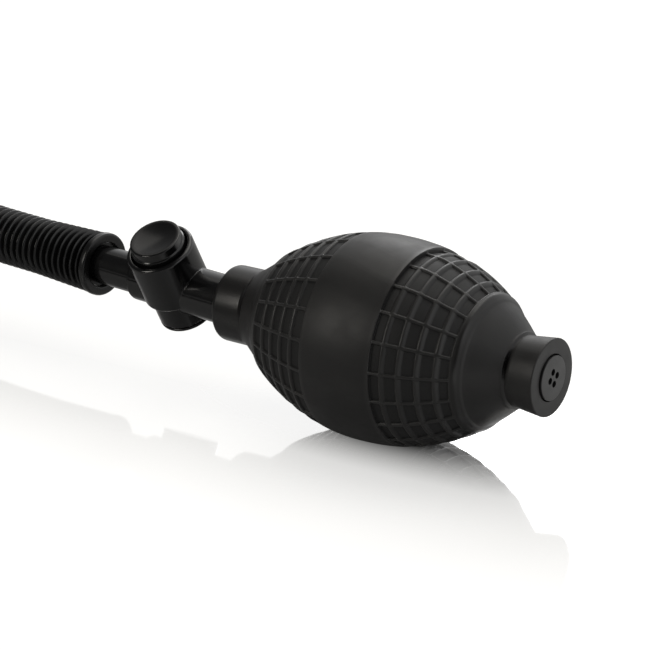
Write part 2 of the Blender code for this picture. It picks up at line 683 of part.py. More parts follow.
def make_stem_seal(steel, rubber, barrel_axis):
    """O-ring in its gland, and the washer over it that the spring stands on."""
    turned("stem_o_ring", torus_corners(O_RING_RADIUS, O_RING_CORD, GLAND_FLOOR + GAP + O_RING_CORD),
           rubber, barrel_axis)
    turned("spring_washer", [
        (STEM_HOLE, BARREL_FLOOR + GAP, 0),
        (WASHER_RADIUS, BARREL_FLOOR + GAP, 0),
        (WASHER_RADIUS, WASHER_TOP, 0),
        (STEM_HOLE, WASHER_TOP, 0),
    ], steel, barrel_axis)


def make_spring(steel, barrel_axis):
    """Return spring between the washer and the button's underside."""
    low = WASHER_TOP + GAP + SPRING_WIRE
    high = BUTTON_UNDERSIDE - GAP - SPRING_WIRE
    count = SPRING_TURNS * SPRING_POINTS_PER_TURN
    points = []
    for k in range(count + 1):
        angle = math.tau * k / SPRING_POINTS_PER_TURN
        height = low + (high - low) * k / count
        points.append((SPRING_RADIUS * math.cos(angle), SPRING_RADIUS * math.sin(angle), height))
    gap = least_gap(points, SPRING_WIRE, SPRING_POINTS_PER_TURN // 2)
    print(f"return_spring: least gap between turns {gap / MM:.2f} mm")
    tube("return_spring", points, [SPRING_WIRE] * len(points), WIRE_SIDES, steel, barrel_axis)


def make_bottom_cap(plastic, barrel_axis):
    """Vented cap that closes the poppet's chamber."""
    rim_top = CAP_SHOULDER + CAP_RIM_HEIGHT
    cap = turned("bottom_cap", [
        (0, CAP_BOTTOM, 0),
        (BOSS_RADIUS, CAP_BOTTOM, LEAD_ROUND),
        (BOSS_RADIUS, CAP_SHOULDER, 0),
        (CAP_PLUG_RADIUS, CAP_SHOULDER, 0),
        (CAP_PLUG_RADIUS, rim_top, 0),
        (CAP_BORE, rim_top, 0),
        (CAP_BORE, CAP_FLOOR_AT, 0),
        (0, CAP_FLOOR_AT, 0),
    ], plastic, barrel_axis, ROUND_SIDES)
    drill_holes(cap, VENT_CIRCLE, VENT_RADIUS, CAP_BOTTOM - OVERCUT, CAP_FLOOR_AT + OVERCUT,
                plastic, barrel_axis)


def hose_route(valve_axis):
    """Dense centreline of the hose from its stop on the spigot to the connector."""
    start = SPIGOT_END + GAP
    straight = [valve_axis.matrix_world @ Vector((0, 0, start + run)) for run in HOSE_STRAIGHT]
    lay = [Vector((NECK_POINT[0] + x * MM, y * MM, z * MM)) for x, y, z in HOSE_LAY]
    return smooth_route(straight + lay)


def make_hose(rubber, route):
    """Ribbed hose with plain tails for its cuffs and a smooth bore."""
    length = route_length(route)
    ribbed = length - 2 * HOSE_TAIL
    ribs = round(ribbed / HOSE_RIB_PITCH)
    distances = [0.0]
    radii = [HOSE_TAIL_RADIUS]
    for half in range(2 * ribs + 1):
        distance = HOSE_TAIL + ribbed * half / (2 * ribs)
        from_end = min(distance, length - distance)
        flare = HOSE_FLARE * max(0.0, 1 - from_end / HOSE_FLARE_LENGTH)
        distances.append(distance)
        radii.append(HOSE_CREST_RADIUS + flare if half % 2 else HOSE_TAIL_RADIUS)
    distances.append(length)
    radii.append(HOSE_TAIL_RADIUS)
    hose = tube("hose", read_route(route, distances), radii, HOSE_SIDES, rubber)
    count = round(length / BORE_POINT_SPACING)
    core = read_route(route, np.linspace(0, length, count + 1))
    core = np.vstack([2 * core[0] - core[1], core, 2 * core[-1] - core[-2]])
    combine(hose, tube("bore_form", core, [HOSE_BORE_RADIUS] * len(core), HOSE_SIDES, rubber), "DIFFERENCE")
    print(f"hose: {length / MM:.1f} mm long, {ribs} ribs")


def make_cuff(name, rubber, parent, rib_side):
    """Plain sleeve round a tail of the hose; rib_side is where the first rib starts on local Z."""
    back = rib_side - math.copysign(GAP, rib_side)
    face = back - math.copysign(CUFF_LENGTH, rib_side)
    turned(name, [
        (CUFF_BORE, back, 0),
        (CUFF_RADIUS, back, CUFF_ROUND),
        (CUFF_RADIUS, face, CUFF_ROUND),
        (CUFF_BORE, face, EDGE_ROUND),
    ], rubber, parent, ROUND_SIDES)


def make_connector(plastic, rubber, end_axis):
    """Push-fit connector: barb in the hose, flange against the cuff, tapered nozzle with a seal."""
    flange = CUFF_LENGTH - HOSE_TAIL + 2 * GAP
    nozzle = flange + CONNECTOR_FLANGE
    tip = nozzle + NOZZLE_LENGTH
    groove = nozzle + NOZZLE_GROOVE_AT
    groove_radius = NOZZLE_ROOT_RADIUS - NOZZLE_GROOVE_DEPTH
    turned("hose_connector", [
        (BARB_BORE, -BARB_LENGTH, 0),
        (BARB_RADIUS, -BARB_LENGTH, LEAD_ROUND),
        (BARB_RADIUS, GAP, 0),
        (SPIGOT_RADIUS, GAP, 0),
        (SPIGOT_RADIUS, flange, 0),
        (CONNECTOR_FLANGE_RADIUS, flange, EDGE_ROUND),
        (CONNECTOR_FLANGE_RADIUS, nozzle, EDGE_ROUND),
        (NOZZLE_ROOT_RADIUS, nozzle, 0),
        (NOZZLE_ROOT_RADIUS, groove, 0),
        (groove_radius, groove, 0),
        (groove_radius, groove + NOZZLE_GROOVE_WIDTH, 0),
        (NOZZLE_ROOT_RADIUS, groove + NOZZLE_GROOVE_WIDTH, 0),
        (NOZZLE_ROOT_RADIUS - NOZZLE_TAPER, tip, EDGE_ROUND),
        (BARB_BORE, tip, 0),
    ], plastic, end_axis)
    seal_radius = groove_radius + GAP + NOZZLE_SEAL_CORD
    turned("connector_seal", torus_corners(seal_radius, NOZZLE_SEAL_CORD, groove + NOZZLE_GROOVE_WIDTH / 2),
           rubber, end_axis)


def main():
    clear_scene()
    bulb_rubber = make_material("bulb_rubber", (0.018, 0.018, 0.019), 0.62)
    seal_rubber = make_material("seal_rubber", (0.03, 0.03, 0.03), 0.7)
    hose_rubber = make_material("hose_rubber", (0.015, 0.015, 0.016), 0.45)
    black_plastic = make_material("black_plastic", (0.012, 0.012, 0.013), 0.3)
    pin_steel = make_material("pin_steel", (0.62, 0.62, 0.63), 0.3, 1.0)

    up = Vector((0, 0, 1))
    outwards = Vector((-math.cos(NECK_BEND), math.sin(NECK_BEND), 0))
    to_front = up.cross(outwards)
    button_way = up * math.cos(BARREL_LEAN) + to_front * math.sin(BARREL_LEAN)
    bulb_axis = make_axis("bulb_axis", (BULB_X, 0, AXIS_HEIGHT), (1, 0, 0), (0, 1, 0))
    valve_axis = make_axis("valve_axis", NECK_POINT, outwards, up)
    barrel_axis = make_axis("barrel_axis", Vector(NECK_POINT) + outwards * BARREL_AT, button_way, outwards)

    make_bulb(bulb_rubber, bulb_axis)
    make_inlet(black_plastic, seal_rubber, bulb_axis)
    make_outlet(black_plastic, seal_rubber, valve_axis)
    make_valve_body(black_plastic, valve_axis, barrel_axis)
    make_button(black_plastic, barrel_axis)
    make_pin(pin_steel, seal_rubber, barrel_axis)
    make_stem_seal(pin_steel, seal_rubber, barrel_axis)
    make_spring(pin_steel, barrel_axis)
    make_bottom_cap(black_plastic, barrel_axis)

    bpy.context.view_layer.update()
    route = hose_route(valve_axis)
    hose_start = make_axis("hose_start", route[0], outwards, up)
    hose_end = make_axis("hose_end", route[-1], route[-1] - route[-2], up)
    make_hose(hose_rubber, route)
    make_cuff("hose_cuff", hose_rubber, hose_start, HOSE_TAIL)
    make_cuff("hose_end_cuff", hose_rubber, hose_end, -HOSE_TAIL)
    make_connector(black_plastic, seal_rubber, hose_end)


main()
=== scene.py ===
"""Looks of the squeeze-bulb air blower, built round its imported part.

Lengths are in metres in the part's own frame: +Z is up and +X points to the tail of the bulb.
The floor is at z = 0.
"""
import json
import math

import bmesh
import bpy
import numpy as np
from mathutils import Matrix, Vector


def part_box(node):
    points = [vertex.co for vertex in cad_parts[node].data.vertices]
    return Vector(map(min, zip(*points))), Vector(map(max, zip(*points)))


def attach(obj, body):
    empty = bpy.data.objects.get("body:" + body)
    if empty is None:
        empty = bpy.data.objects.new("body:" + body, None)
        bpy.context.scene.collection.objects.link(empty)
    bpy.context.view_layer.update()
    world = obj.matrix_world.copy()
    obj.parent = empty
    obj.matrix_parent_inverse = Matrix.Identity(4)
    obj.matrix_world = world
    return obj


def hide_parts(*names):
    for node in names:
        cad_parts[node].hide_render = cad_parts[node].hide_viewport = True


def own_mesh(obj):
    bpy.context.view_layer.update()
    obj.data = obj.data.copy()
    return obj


MM = 0.001

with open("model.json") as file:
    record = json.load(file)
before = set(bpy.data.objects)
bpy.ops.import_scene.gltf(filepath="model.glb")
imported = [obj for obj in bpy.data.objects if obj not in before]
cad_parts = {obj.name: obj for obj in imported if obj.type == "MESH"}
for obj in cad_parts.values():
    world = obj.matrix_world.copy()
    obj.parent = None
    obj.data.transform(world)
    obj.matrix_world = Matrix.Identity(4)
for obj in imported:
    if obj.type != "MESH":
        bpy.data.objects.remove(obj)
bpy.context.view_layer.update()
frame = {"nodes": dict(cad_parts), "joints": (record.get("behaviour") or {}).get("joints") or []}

# Fits, edges and fineness
GAP = 0.3 * MM
FINE_EDGE = 0.25 * MM
SOFT_EDGE = 0.6 * MM
ROUND_SIDES = 96
EDGE_STEPS = 5
LARGEST_ROUND_SHARE = 0.45
SHARP = math.radians(35.0)
TREAD_SHARP = math.radians(60.0)
HOSE_SHARP = math.radians(70.0)
NOWHERE_SHARP = math.pi

# Bulb: two power curves that meet at the largest ring, places measured from that ring
BULB_RADIUS = 30.4 * MM
FRONT_REACH = 56.5 * MM
FRONT_POWER = 2.0
REAR_REACH = 57.0 * MM
REAR_POWER = 2.3
BULB_WALL = 2.5 * MM
SMOOTH_SPACING = 1.2 * MM
CAVITY_SPACING = 4.0 * MM

# Neck collar
COLLAR_FACE_AT = -54.375 * MM
COLLAR_RADIUS = 11.5 * MM
COLLAR_ROUND = 2.2 * MM
NECK_BORE = 7.75 * MM

# Straight shoulder from the collar to the front band
SHOULDER_AT = -43.8 * MM
SHOULDER_SLOPE = 0.71
SHOULDER_END = -36.8 * MM
SHOULDER_BLEND = 3.8 * MM
SHOULDER_FILLET = 0.5 * MM

# Flared tail
TAIL_ROOT_AT = 47.1 * MM
TAIL_FACE_AT = 56.4 * MM
TAIL_ROOT_RADIUS = 10.4 * MM
TAIL_ROOT_FILLET = 0.5 * MM
TAIL_RADIUS = 11.5 * MM
TAIL_ROUND = 0.45 * MM
TAIL_FLANK = (0.8 * MM, 1.2 * MM, 1.6 * MM)

# Creases where the rubber folds on one side: place, depth, width, angle, span
CREASES = (
    (SHOULDER_AT, 3.0 * MM, 0.42 * MM, math.radians(147.0), math.radians(20.0)),
    (TAIL_ROOT_AT, 2.0 * MM, 0.4 * MM, math.radians(150.0), math.radians(17.0)),
)
CREASE_REACH = 1.3 * MM
CREASE_SPACING = 0.1 * MM

# Tread bands: recessed pads between ribs
PADS_AROUND = 20
FRONT_RINGS = np.linspace(-32.2, -9.9, 6) * MM
REAR_RINGS = np.array((13.5, 17.1, 21.9, 26.8, 31.6, 35.0)) * MM
FRONT_BAND = (FRONT_RINGS[0], FRONT_RINGS[-1])
REAR_BAND = (REAR_RINGS[0], REAR_RINGS[-1])
FRONT_RIB_ANGLE = math.radians(5.0)
REAR_RIB_ANGLE = math.radians(14.2)
RING_RIB_HALF = 0.85 * MM
LONG_RIB_HALF = 0.65 * MM
LEAST_RIB_RADIUS = BULB_RADIUS / 2
RIB_POWER = 3.0
SLANT_HALF = 1.1 * MM
SLANT_POWER = 1.3
RIB_SHARES = (0.0, 0.4, 0.65, 0.85, 1.0, 1.15)
PAD_DEPTH = 0.65 * MM
PAD_DRAFT = 0.35 * MM
DRAFT_SHARES = (-0.4, 0.0, 0.25, 0.5, 0.75, 1.0, 1.3)
FLOOR_ROW_SHARES = (0.45, 0.65)
FLOOR_COLUMN_SHARES = (1 / 3, 2 / 3)
RIM_WIDTH = 2.4 * MM
RIM_ROWS = 8
RIM_RISE = 0.3 * MM
RIM_STEP = 0.4 * MM
RIM_FALL = 0.7 * MM
RIM_FALL_ROWS = 5
REAR_DROP = 0.8 * MM
REAR_DROP_REACH = 6.5 * MM
REAR_DROP_MIDDLE = math.radians(80.0)
REAR_DROP_HALF = math.radians(20.0)
REAR_DROP_FADE = math.radians(55.0)
REAR_DROP_LEAST = 0.3
RIB_POLISH = 0.6
POLISH = "polish"
# Attribute for the ribs' lighter colour: partly wear, partly a painted sheen
WEAR_AND_SHEEN = "wear_and_sheen"
PAD = "pad"

# Tail insert with four holes
INLET_RADIUS = 6.6 * MM
INLET_PROUD = 0.6 * MM
INLET_DEPTH = 9.0 * MM
INLET_PLATE = 1.8 * MM
INLET_BORE = 5.5 * MM
INLET_LIP = INLET_BORE + GAP
INLET_FLANGE_RADIUS = 7.6 * MM
INLET_FLANGE = 1.6 * MM
INLET_HOLE_RADIUS = 1.0 * MM
INLET_HOLE_CIRCLE = 1.9 * MM
INLET_HOLE_TURN = math.radians(8.0)
HOLES = 4
HOLE_SIDES = 32

# Valve body: cross tube, places measured outwards from the collar face
TUBE_RADIUS = 7.45 * MM
TUBE_INSERT = 11.0 * MM
TUBE_BORE = 3.8 * MM
TUBE_END = 36.8 * MM
TUBE_STEP_ROUND = 1.0 * MM
OUTLET_BORE = 5.7 * MM
OUTLET_END = -4.8 * MM
SPIGOT_RADIUS = 5.95 * MM
SPIGOT_END = 53.0 * MM
BARB_RADIUS = 4.75 * MM
BARB_BORE = 3.15 * MM
BARB_LENGTH = 9.3 * MM

# Upright barrel, heights measured along it from the cross tube's axis
BARREL_AT = 22.5 * MM
BARREL_RADIUS = 10.45 * MM
BARREL_BOTTOM = -1.2 * MM
BARREL_TOP = 15.9 * MM
BARREL_ROUND = 0.9 * MM
BARREL_FLOOR = 8.0 * MM
BUTTON_BORE = 8.85 * MM
GLAND_RADIUS = 3.3 * MM
GLAND_FLOOR = 6.2 * MM
STEM_HOLE = 1.8 * MM
SEAT_HOLE = 2.5 * MM
SEAT_AT = -4.8 * MM
CHAMBER_RADIUS = 6.0 * MM
BOSS_RADIUS = 8.8 * MM
BOSS_BOTTOM = -9.7 * MM
JOIN_FILLET = 0.12 * MM
RIM_FILLET = 0.35 * MM
SKIN_STEP = 0.4 * MM
SKIN_MARGIN = 2 * SKIN_STEP
SKIN_SLOPE_STEP = SKIN_STEP / 20
SKIN_LEAST_SLOPE = 0.25
SKIN_PULLS = 4

# Button, its spring and the cap under the barrel
BUTTON_RADIUS = 7.95 * MM
BUTTON_TOP = 19.9 * MM
BUTTON_DISH = 0.5 * MM
BUTTON_DISH_RINGS = 10
BUTTON_LIP = 1.0 * MM
BUTTON_STEP_AT = 17.4 * MM
BUTTON_STEP_FALL = 0.35 * MM
SKIRT_RADIUS = 8.35 * MM
SKIRT_BOTTOM = 12.2 * MM
SKIRT_WALL = 1.3 * MM
BUTTON_UNDERSIDE = 16.8 * MM
BUTTON_BOSS_RADIUS = 2.7 * MM
BUTTON_BOSS_BOTTOM = 13.6 * MM
PIN_SOCKET_TOP = 17.7 * MM
WASHER_TOP = 9.0 * MM
SPRING_RADIUS = 3.35 * MM
SPRING_WIRE = 0.35 * MM
SPRING_TURNS = 5
SPRING_POINTS_PER_TURN = 28
WIRE_SIDES = 12
CAP_BOTTOM = -11.0 * MM
CAP_SHOULDER = -10.0 * MM
CAP_FLOOR_AT = -9.8 * MM
CAP_RIM_TOP = -7.9 * MM
CAP_BORE = 4.7 * MM
CAP_PLUG_RADIUS = 5.7 * MM
VENT_RADIUS = 0.9 * MM
VENT_CIRCLE = 2.6 * MM

# Hose, its cuffs and its connector
HOSE_BORE = 5.2 * MM
HOSE_ROOT = 6.73 * MM
HOSE_RIB_HEIGHT = 2.0 * MM
HOSE_RIB_PITCH = 2.6 * MM
HOSE_RIB_POWER = 2.1
HOSE_RIB_POINTS = 12
HOSE_TAIL = 1.2 * MM
HOSE_FLARE = 0.9 * MM
HOSE_FLARE_LENGTH = 25.0 * MM
HOSE_SIDES = 48
CUFF_RADIUS = 9.83 * MM
CUFF_BORE = 7.03 * MM
CUFF_LENGTH = 2.2 * MM
CUFF_ROUND = 0.8 * MM
CONNECTOR_FLANGE_RADIUS = 8.83 * MM
CONNECTOR_FLANGE = 2.5 * MM
NOZZLE_LENGTH = 20.0 * MM
NOZZLE_RADIUS = 5.6 * MM
NOZZLE_TAPER = 0.8 * MM
NOZZLE_GROOVE_AT = 6.0 * MM
NOZZLE_GROOVE_WIDTH = 2.2 * MM
NOZZLE_GROOVE_DEPTH = 1.0 * MM
NOZZLE_SEAL_CORD = 0.8 * MM

# Route of the hose in mm: straight from its stop, then x and y from the collar face, z over the floor
HOSE_STRAIGHT = (0.0, 23.7, 42.7, 58.7)
HOSE_LAY = (
    (-138.5, 7.5, 29.3),
    (-163.0, -4.4, 26.0),
    (-182.0, -24.4, 21.5),
    (-193.3, -49.0, 16.5),
    (-195.5, -76.0, 12.2),
    (-188.3, -102.2, 9.6),
    (-172.6, -124.2, 8.8),
    (-150.3, -139.6, 8.8),
    (-124.1, -146.5, 9.2),
    (-104.2, -148.1, 9.9),
    (-82.2, -149.9, 9.9),
)
ROUTE_SAMPLES = 24

# View: bearing and height of the camera, and the pixel on which its view point falls
VIEW_BEARING = math.radians(33.6)
VIEW_HEIGHT = math.radians(21.7)
VIEW_ROLL = math.radians(-0.43)
VIEW_DISTANCE = 1.0
VIEW_POINT_FROM_BULB = Vector((2.0, 0.0, 0.0)) * MM
IMAGE_PIXELS = 650
FOCAL_PIXELS = 3455
VIEW_POINT_PIXEL = (390.3, 339.5)
SENSOR_WIDTH = 36.0
NEAR_CLIP = 0.01

UP = Vector((0, 0, 1))


def middle(node):
    """Middle of a node's box."""
    low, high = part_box(node)
    return (low + high) / 2


def axis_frame(origin, along, side):
    """Matrix whose local Z runs along an axis and whose local X points to one side of it."""
    z_axis = Vector(along).normalized()
    y_axis = z_axis.cross(Vector(side)).normalized()
    x_axis = y_axis.cross(z_axis)
    return Matrix.Translation(origin) @ Matrix((x_axis, y_axis, z_axis)).transposed().to_4x4()


# Axes of the part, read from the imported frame
joints = {joint["name"]: joint for joint in frame["joints"]}
outwards = Vector(joints["outlet_lift"]["axis"]).normalized()
button_way = -Vector(joints["button_press"]["axis"]).normalized()
tail_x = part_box("bulb")[1].x
bulb_middle = Vector((tail_x - TAIL_FACE_AT, middle("inlet_flap").y, middle("inlet_flap").z))
neck_point = bulb_middle + Vector((COLLAR_FACE_AT, 0, 0))
bulb_axis = axis_frame(bulb_middle, (1, 0, 0), (0, 1, 0))
barrel_axis = axis_frame(neck_point + outwards * BARREL_AT, button_way, outwards)


# Mesh tools

def shade(mesh, sharp):
    """Smooth shading that breaks at edges sharper than an angle."""
    mesh.shade_smooth()
    mesh.set_sharp_from_angle(angle=sharp)


def add_piece(name, verts, faces, material, place=None, sharp=SHARP):
    """Smooth object made of points and faces, set down at a place."""
    mesh = bpy.data.meshes.new(name)
    mesh.from_pydata([tuple(v) for v in verts], [], [tuple(f) for f in faces])
    mesh.update()
    shade(mesh, sharp)
    mesh.materials.append(material)
    item = bpy.data.objects.new(name, mesh)
    bpy.context.collection.objects.link(item)
    if place is not None:
        item.matrix_world = place
    return item


def grid_faces(rows, columns, ring=True):
    """Quads of a grid whose columns close on themselves, and whose rows do too if it is a ring."""
    row, column = np.meshgrid(np.arange(rows if ring else rows - 1), np.arange(columns), indexing="ij")
    after_row = (row + 1) % rows
    after_column = (column + 1) % columns
    quads = np.stack([row * columns + column, row * columns + after_column,
                      after_row * columns + after_column, after_row * columns + column], axis=-1)
    return quads.reshape(-1, 4)


def soften(corners):
    """Round the (radius, height, fillet) corners of a closed outline into (radius, height) points."""
    outline = []
    for index, (radius, height, fillet) in enumerate(corners):
        corner = Vector((radius, height))
        back = Vector(corners[index - 1][:2]) - corner
        ahead = Vector(corners[(index + 1) % len(corners)][:2]) - corner
        if fillet == 0:
            outline.append((radius, height))
            continue
        half = back.angle(ahead) / 2
        longest = LARGEST_ROUND_SHARE * min(back.length, ahead.length)
        run = min(fillet / math.tan(half), longest)
        start = corner + back.normalized() * run
        end = corner + ahead.normalized() * run
        for step in range(EDGE_STEPS + 1):
            share = step / EDGE_STEPS
            near = start.lerp(corner, share).lerp(corner.lerp(end, share), share)
            outline.append((near.x, near.y))
    return outline


def unpack(form):
    """Points and faces of an edited mesh, which is then freed."""
    form.verts.index_update()
    verts = [v.co.copy() for v in form.verts]
    faces = [[v.index for v in face.verts] for face in form.faces]
    form.free()
    return verts, faces


def turned(name, corners, material, place):
    """Piece spun about local Z from the closed outline of its (radius, height, fillet) corners."""
    form = bmesh.new()
    rings = []
    for radius, height in soften(corners):
        angles = [k * math.tau / ROUND_SIDES for k in range(ROUND_SIDES if radius > 0 else 1)]
        spots = [(radius * math.cos(a), radius * math.sin(a), height) for a in angles]
        rings.append([form.verts.new(spot) for spot in spots])
    for lower, upper in zip(rings, rings[1:] + rings[:1]):
        for k in range(ROUND_SIDES):
            after = (k + 1) % ROUND_SIDES
            loop = [lower[k % len(lower)], lower[after % len(lower)],
                    upper[after % len(upper)], upper[k % len(upper)]]
            loop = list(dict.fromkeys(loop))
            if len(loop) > 2:
                form.faces.new(loop)
    bmesh.ops.recalc_face_normals(form, faces=form.faces)
    verts, faces = unpack(form)
    return add_piece(name, verts, faces, material, place)


def drill(item, circle, radius, low, high, material, turn=math.pi / HOLES):
    """Cut a ring of round holes along the item's local Z axis, the first of them turned from local X."""
    form = bmesh.new()
    for hole in range(HOLES):
        angle = turn + hole * math.tau / HOLES
        centre = (circle * math.cos(angle), circle * math.sin(angle), (low + high) / 2)
        bmesh.ops.create_cone(form, cap_ends=True, segments=HOLE_SIDES, radius1=radius, radius2=radius,
                              depth=high - low, matrix=Matrix.Translation(centre))
    verts, faces = unpack(form)
    tool = add_piece(item.name + "_holes", verts, faces, material, item.matrix_world)
    cut = item.modifiers.new("holes", "BOOLEAN")
    cut.operation = "DIFFERENCE"
    cut.solver = "EXACT"
    cut.object = tool
    bpy.context.view_layer.update()
    drilled = bpy.data.meshes.new_from_object(item.evaluated_get(bpy.context.evaluated_depsgraph_get()))
    item.modifiers.clear()
    item.data = drilled
    bpy.data.objects.remove(tool)
    shade(drilled, SHARP)


def smooth_route(points):
    """Dense points on a smooth curve through the given points."""
    knots = np.array(points, dtype=float)
    knots = np.vstack([2 * knots[0] - knots[1], knots, 2 * knots[-1] - knots[-2]])
    share = np.linspace(0, 1, ROUTE_SAMPLES, endpoint=False)[:, None]
    spans = []
    for a, b, c, d in zip(knots, knots[1:], knots[2:], knots[3:]):
        spans.append(0.5 * (2 * b + (c - a) * share + (2 * a - 5 * b + 4 * c - d) * share ** 2
                            + (3 * b - a - 3 * c + d) * share ** 3))
    return np.vstack(spans + [knots[-2:-1]])


def route_distances(route):
    """Distance along a route to each of its points."""
    return np.concatenate([[0], np.cumsum(np.linalg.norm(np.diff(route, axis=0), axis=1))])


def at_distances(distances, travelled, values):
    """Rows of values along a route, read off at distances along it."""
    return np.stack([np.interp(distances, travelled, column) for column in values.T], axis=1)


def unit(rows):
    """Rows scaled to length 1."""
    return rows / np.linalg.norm(rows, axis=1)[:, None]


def sweep(centres, tangents, radii, sides):
    """Rings of points round a line that is never upright: an array of rows, sides and coordinates."""
    side = unit(np.cross(tangents, np.array(UP)))
    top = np.cross(side, tangents)
    angles = np.arange(sides) * math.tau / sides
    way = (side[:, None, :] * np.cos(angles)[None, :, None]
           + top[:, None, :] * np.sin(angles)[None, :, None])
    return centres[:, None, :] + way * np.asarray(radii)[:, None, None]


# Bulb

def bulb_radius(place):
    """Radius of the bulb's plain curve at places along it."""
    reach = np.where(place > 0, REAR_REACH, FRONT_REACH)
    power = np.where(place > 0, REAR_POWER, FRONT_POWER)
    return BULB_RADIUS * (1 - (np.abs(place) / reach) ** power)


def ease(share):
    """Smooth step from 0 to 1."""
    share = np.clip(share, 0, 1)
    return share * share * (3 - 2 * share)


def body_curve(place):
    """Outside radius from the collar to the tail: collar, straight shoulder, then the bulb's curve."""
    cone = COLLAR_RADIUS + SHOULDER_SLOPE * (place - SHOULDER_AT)
    shoulder = cone + (bulb_radius(place) - cone) * ease((place - SHOULDER_END) / SHOULDER_BLEND)
    return (COLLAR_RADIUS + shoulder + np.hypot(shoulder - COLLAR_RADIUS, SHOULDER_FILLET)) / 2


def rib_ramp(distance, half, power=RIB_POWER):
    """0 on the round top of a rib, 1 on the floor of a pad, by the distance from the rib's middle."""
    return np.clip(np.abs(distance) / half, 0, 1) ** power


def slanted_ramp(distance):
    """Ramp of a ring rib of the rear band, whose side towards the tail slopes gently."""
    slant = rib_ramp(distance, SLANT_HALF, SLANT_POWER)
    return np.where(distance > 0, slant, rib_ramp(distance, RING_RIB_HALF))


def across_rib(half):
    """Places across a rib, from foot to foot."""
    offsets = np.array(RIB_SHARES) * half
    return np.concatenate([-offsets[:0:-1], offsets])


def band_places(rings, tail_half):
    """Rows of a tread band: down its end walls, across each ring rib and over each pad's floor."""
    walls = np.array(DRAFT_SHARES) * PAD_DRAFT
    front_side = across_rib(RING_RIB_HALF)
    tail_side = across_rib(tail_half)
    across = np.concatenate([front_side[front_side < 0], tail_side[tail_side >= 0]])
    ribs = (rings[1:-1, None] + across[None, :]).ravel()
    floors = np.concatenate([rings[:-1] + np.diff(rings) * share for share in FLOOR_ROW_SHARES])
    return np.sort(np.concatenate([rings[0] + walls, ribs, floors, rings[-1] - walls]))


def row_ramps(places):
    """How far the pads are pressed in at each row, 0 on ring ribs, and which rows are in a band."""
    ramps = np.zeros(len(places))
    in_band = np.zeros(len(places), dtype=bool)
    for rings in (FRONT_RINGS, REAR_RINGS):
        from_ribs = places[:, None] - rings[None, 1:-1]
        shape = slanted_ramp(from_ribs) if rings is REAR_RINGS else rib_ramp(from_ribs, RING_RIB_HALF)
        from_end = np.minimum(places - rings[0], rings[-1] - places)
        ramps += shape.min(axis=1) * ease(from_end / PAD_DRAFT)
        in_band |= from_end > -GAP
    return ramps, in_band


def rim_swell(places):
    """Swell of the rim behind the rear band, 1 along its middle."""
    across = np.clip((places - REAR_BAND[1]) / RIM_WIDTH, 0, 1)
    return np.sin(math.pi * across) ** 2


def spaced(start, end, spacing):
    """Even places from start to end, about a spacing apart."""
    return np.linspace(start, end, max(2, round(abs(end - start) / spacing)) + 1)


def body_rows():
    """Rows of the bulb's outside from the collar to the root of the tail, as radius and place."""
    front = band_places(FRONT_RINGS, RING_RIB_HALF)
    rear = band_places(REAR_RINGS, SLANT_HALF)
    rim_end = REAR_BAND[1] + RIM_WIDTH
    fall_end = rim_end + RIM_FALL
    places = np.concatenate([
        spaced(SHOULDER_AT - CREASE_REACH, SHOULDER_AT + CREASE_REACH, CREASE_SPACING)[:-1],
        spaced(SHOULDER_AT + CREASE_REACH, front[0], SMOOTH_SPACING)[:-1],
        front,
        spaced(front[-1], rear[0], SMOOTH_SPACING)[1:-1],
        rear,
        spaced(rear[-1], rim_end, RIM_WIDTH / RIM_ROWS)[1:],
        spaced(rim_end, fall_end, RIM_FALL / RIM_FALL_ROWS)[1:],
        spaced(fall_end, TAIL_ROOT_AT - CREASE_REACH, SMOOTH_SPACING)[1:],
        spaced(TAIL_ROOT_AT - CREASE_REACH, TAIL_ROOT_AT - TAIL_ROOT_FILLET, CREASE_SPACING)[1:],
    ])
    radii = body_curve(places) - RIM_STEP * ease((places - rim_end) / RIM_FALL)
    radii += RIM_RISE * rim_swell(places)
    return list(zip(radii, places))


def tail_rows():
    """Rows of the flared tail, its bore and the recess for the insert's flange."""
    before_root = TAIL_ROOT_AT - SMOOTH_SPACING
    flare = (TAIL_RADIUS - TAIL_ROOT_RADIUS) / (TAIL_FACE_AT - TAIL_ROOT_AT)
    flank = [(TAIL_ROOT_RADIUS + flare * run, TAIL_ROOT_AT + run, 0) for run in TAIL_FLANK]
    bore = INLET_RADIUS + GAP
    recess = INLET_FLANGE_RADIUS + GAP
    recess_front = TAIL_FACE_AT + INLET_PROUD - INLET_DEPTH + INLET_FLANGE + GAP
    recess_back = recess_front - INLET_FLANGE - 2 * GAP
    return soften([
        (INLET_LIP, before_root, 0),
        (float(bulb_radius(before_root)) - RIM_STEP, before_root, 0),
        (TAIL_ROOT_RADIUS, TAIL_ROOT_AT, TAIL_ROOT_FILLET),
        *flank,
        (TAIL_RADIUS, TAIL_FACE_AT, TAIL_ROUND),
        (bore, TAIL_FACE_AT, FINE_EDGE),
        (bore, recess_front, 0),
        (recess, recess_front, 0),
        (recess, recess_back, 0),
        (INLET_LIP, recess_back, 0),
        (INLET_LIP, recess_back - BULB_WALL / 2, 0),
    ])[2:]


def bulb_outline():
    """Closed outline of the bulb as rows of radius and place, and where its body begins and ends."""
    collar = soften([
        (NECK_BORE, COLLAR_FACE_AT, FINE_EDGE),
        (COLLAR_RADIUS, COLLAR_FACE_AT, COLLAR_ROUND),
        (COLLAR_RADIUS, SHOULDER_AT, 0),
        (NECK_BORE, SHOULDER_AT, 0),
    ])[:-2]
    body = body_rows()
    tail = tail_rows()
    front_end = SHOULDER_AT + BULB_WALL
    cavity = spaced(tail[-1][1] - BULB_WALL, front_end, CAVITY_SPACING)
    inside = [(max(float(bulb_radius(place)) - BULB_WALL, INLET_LIP), place) for place in cavity]
    inside += [(NECK_BORE, front_end - BULB_WALL / 2)]
    rows = collar + body + tail + inside
    return np.array(rows), len(collar), len(collar) + len(body)


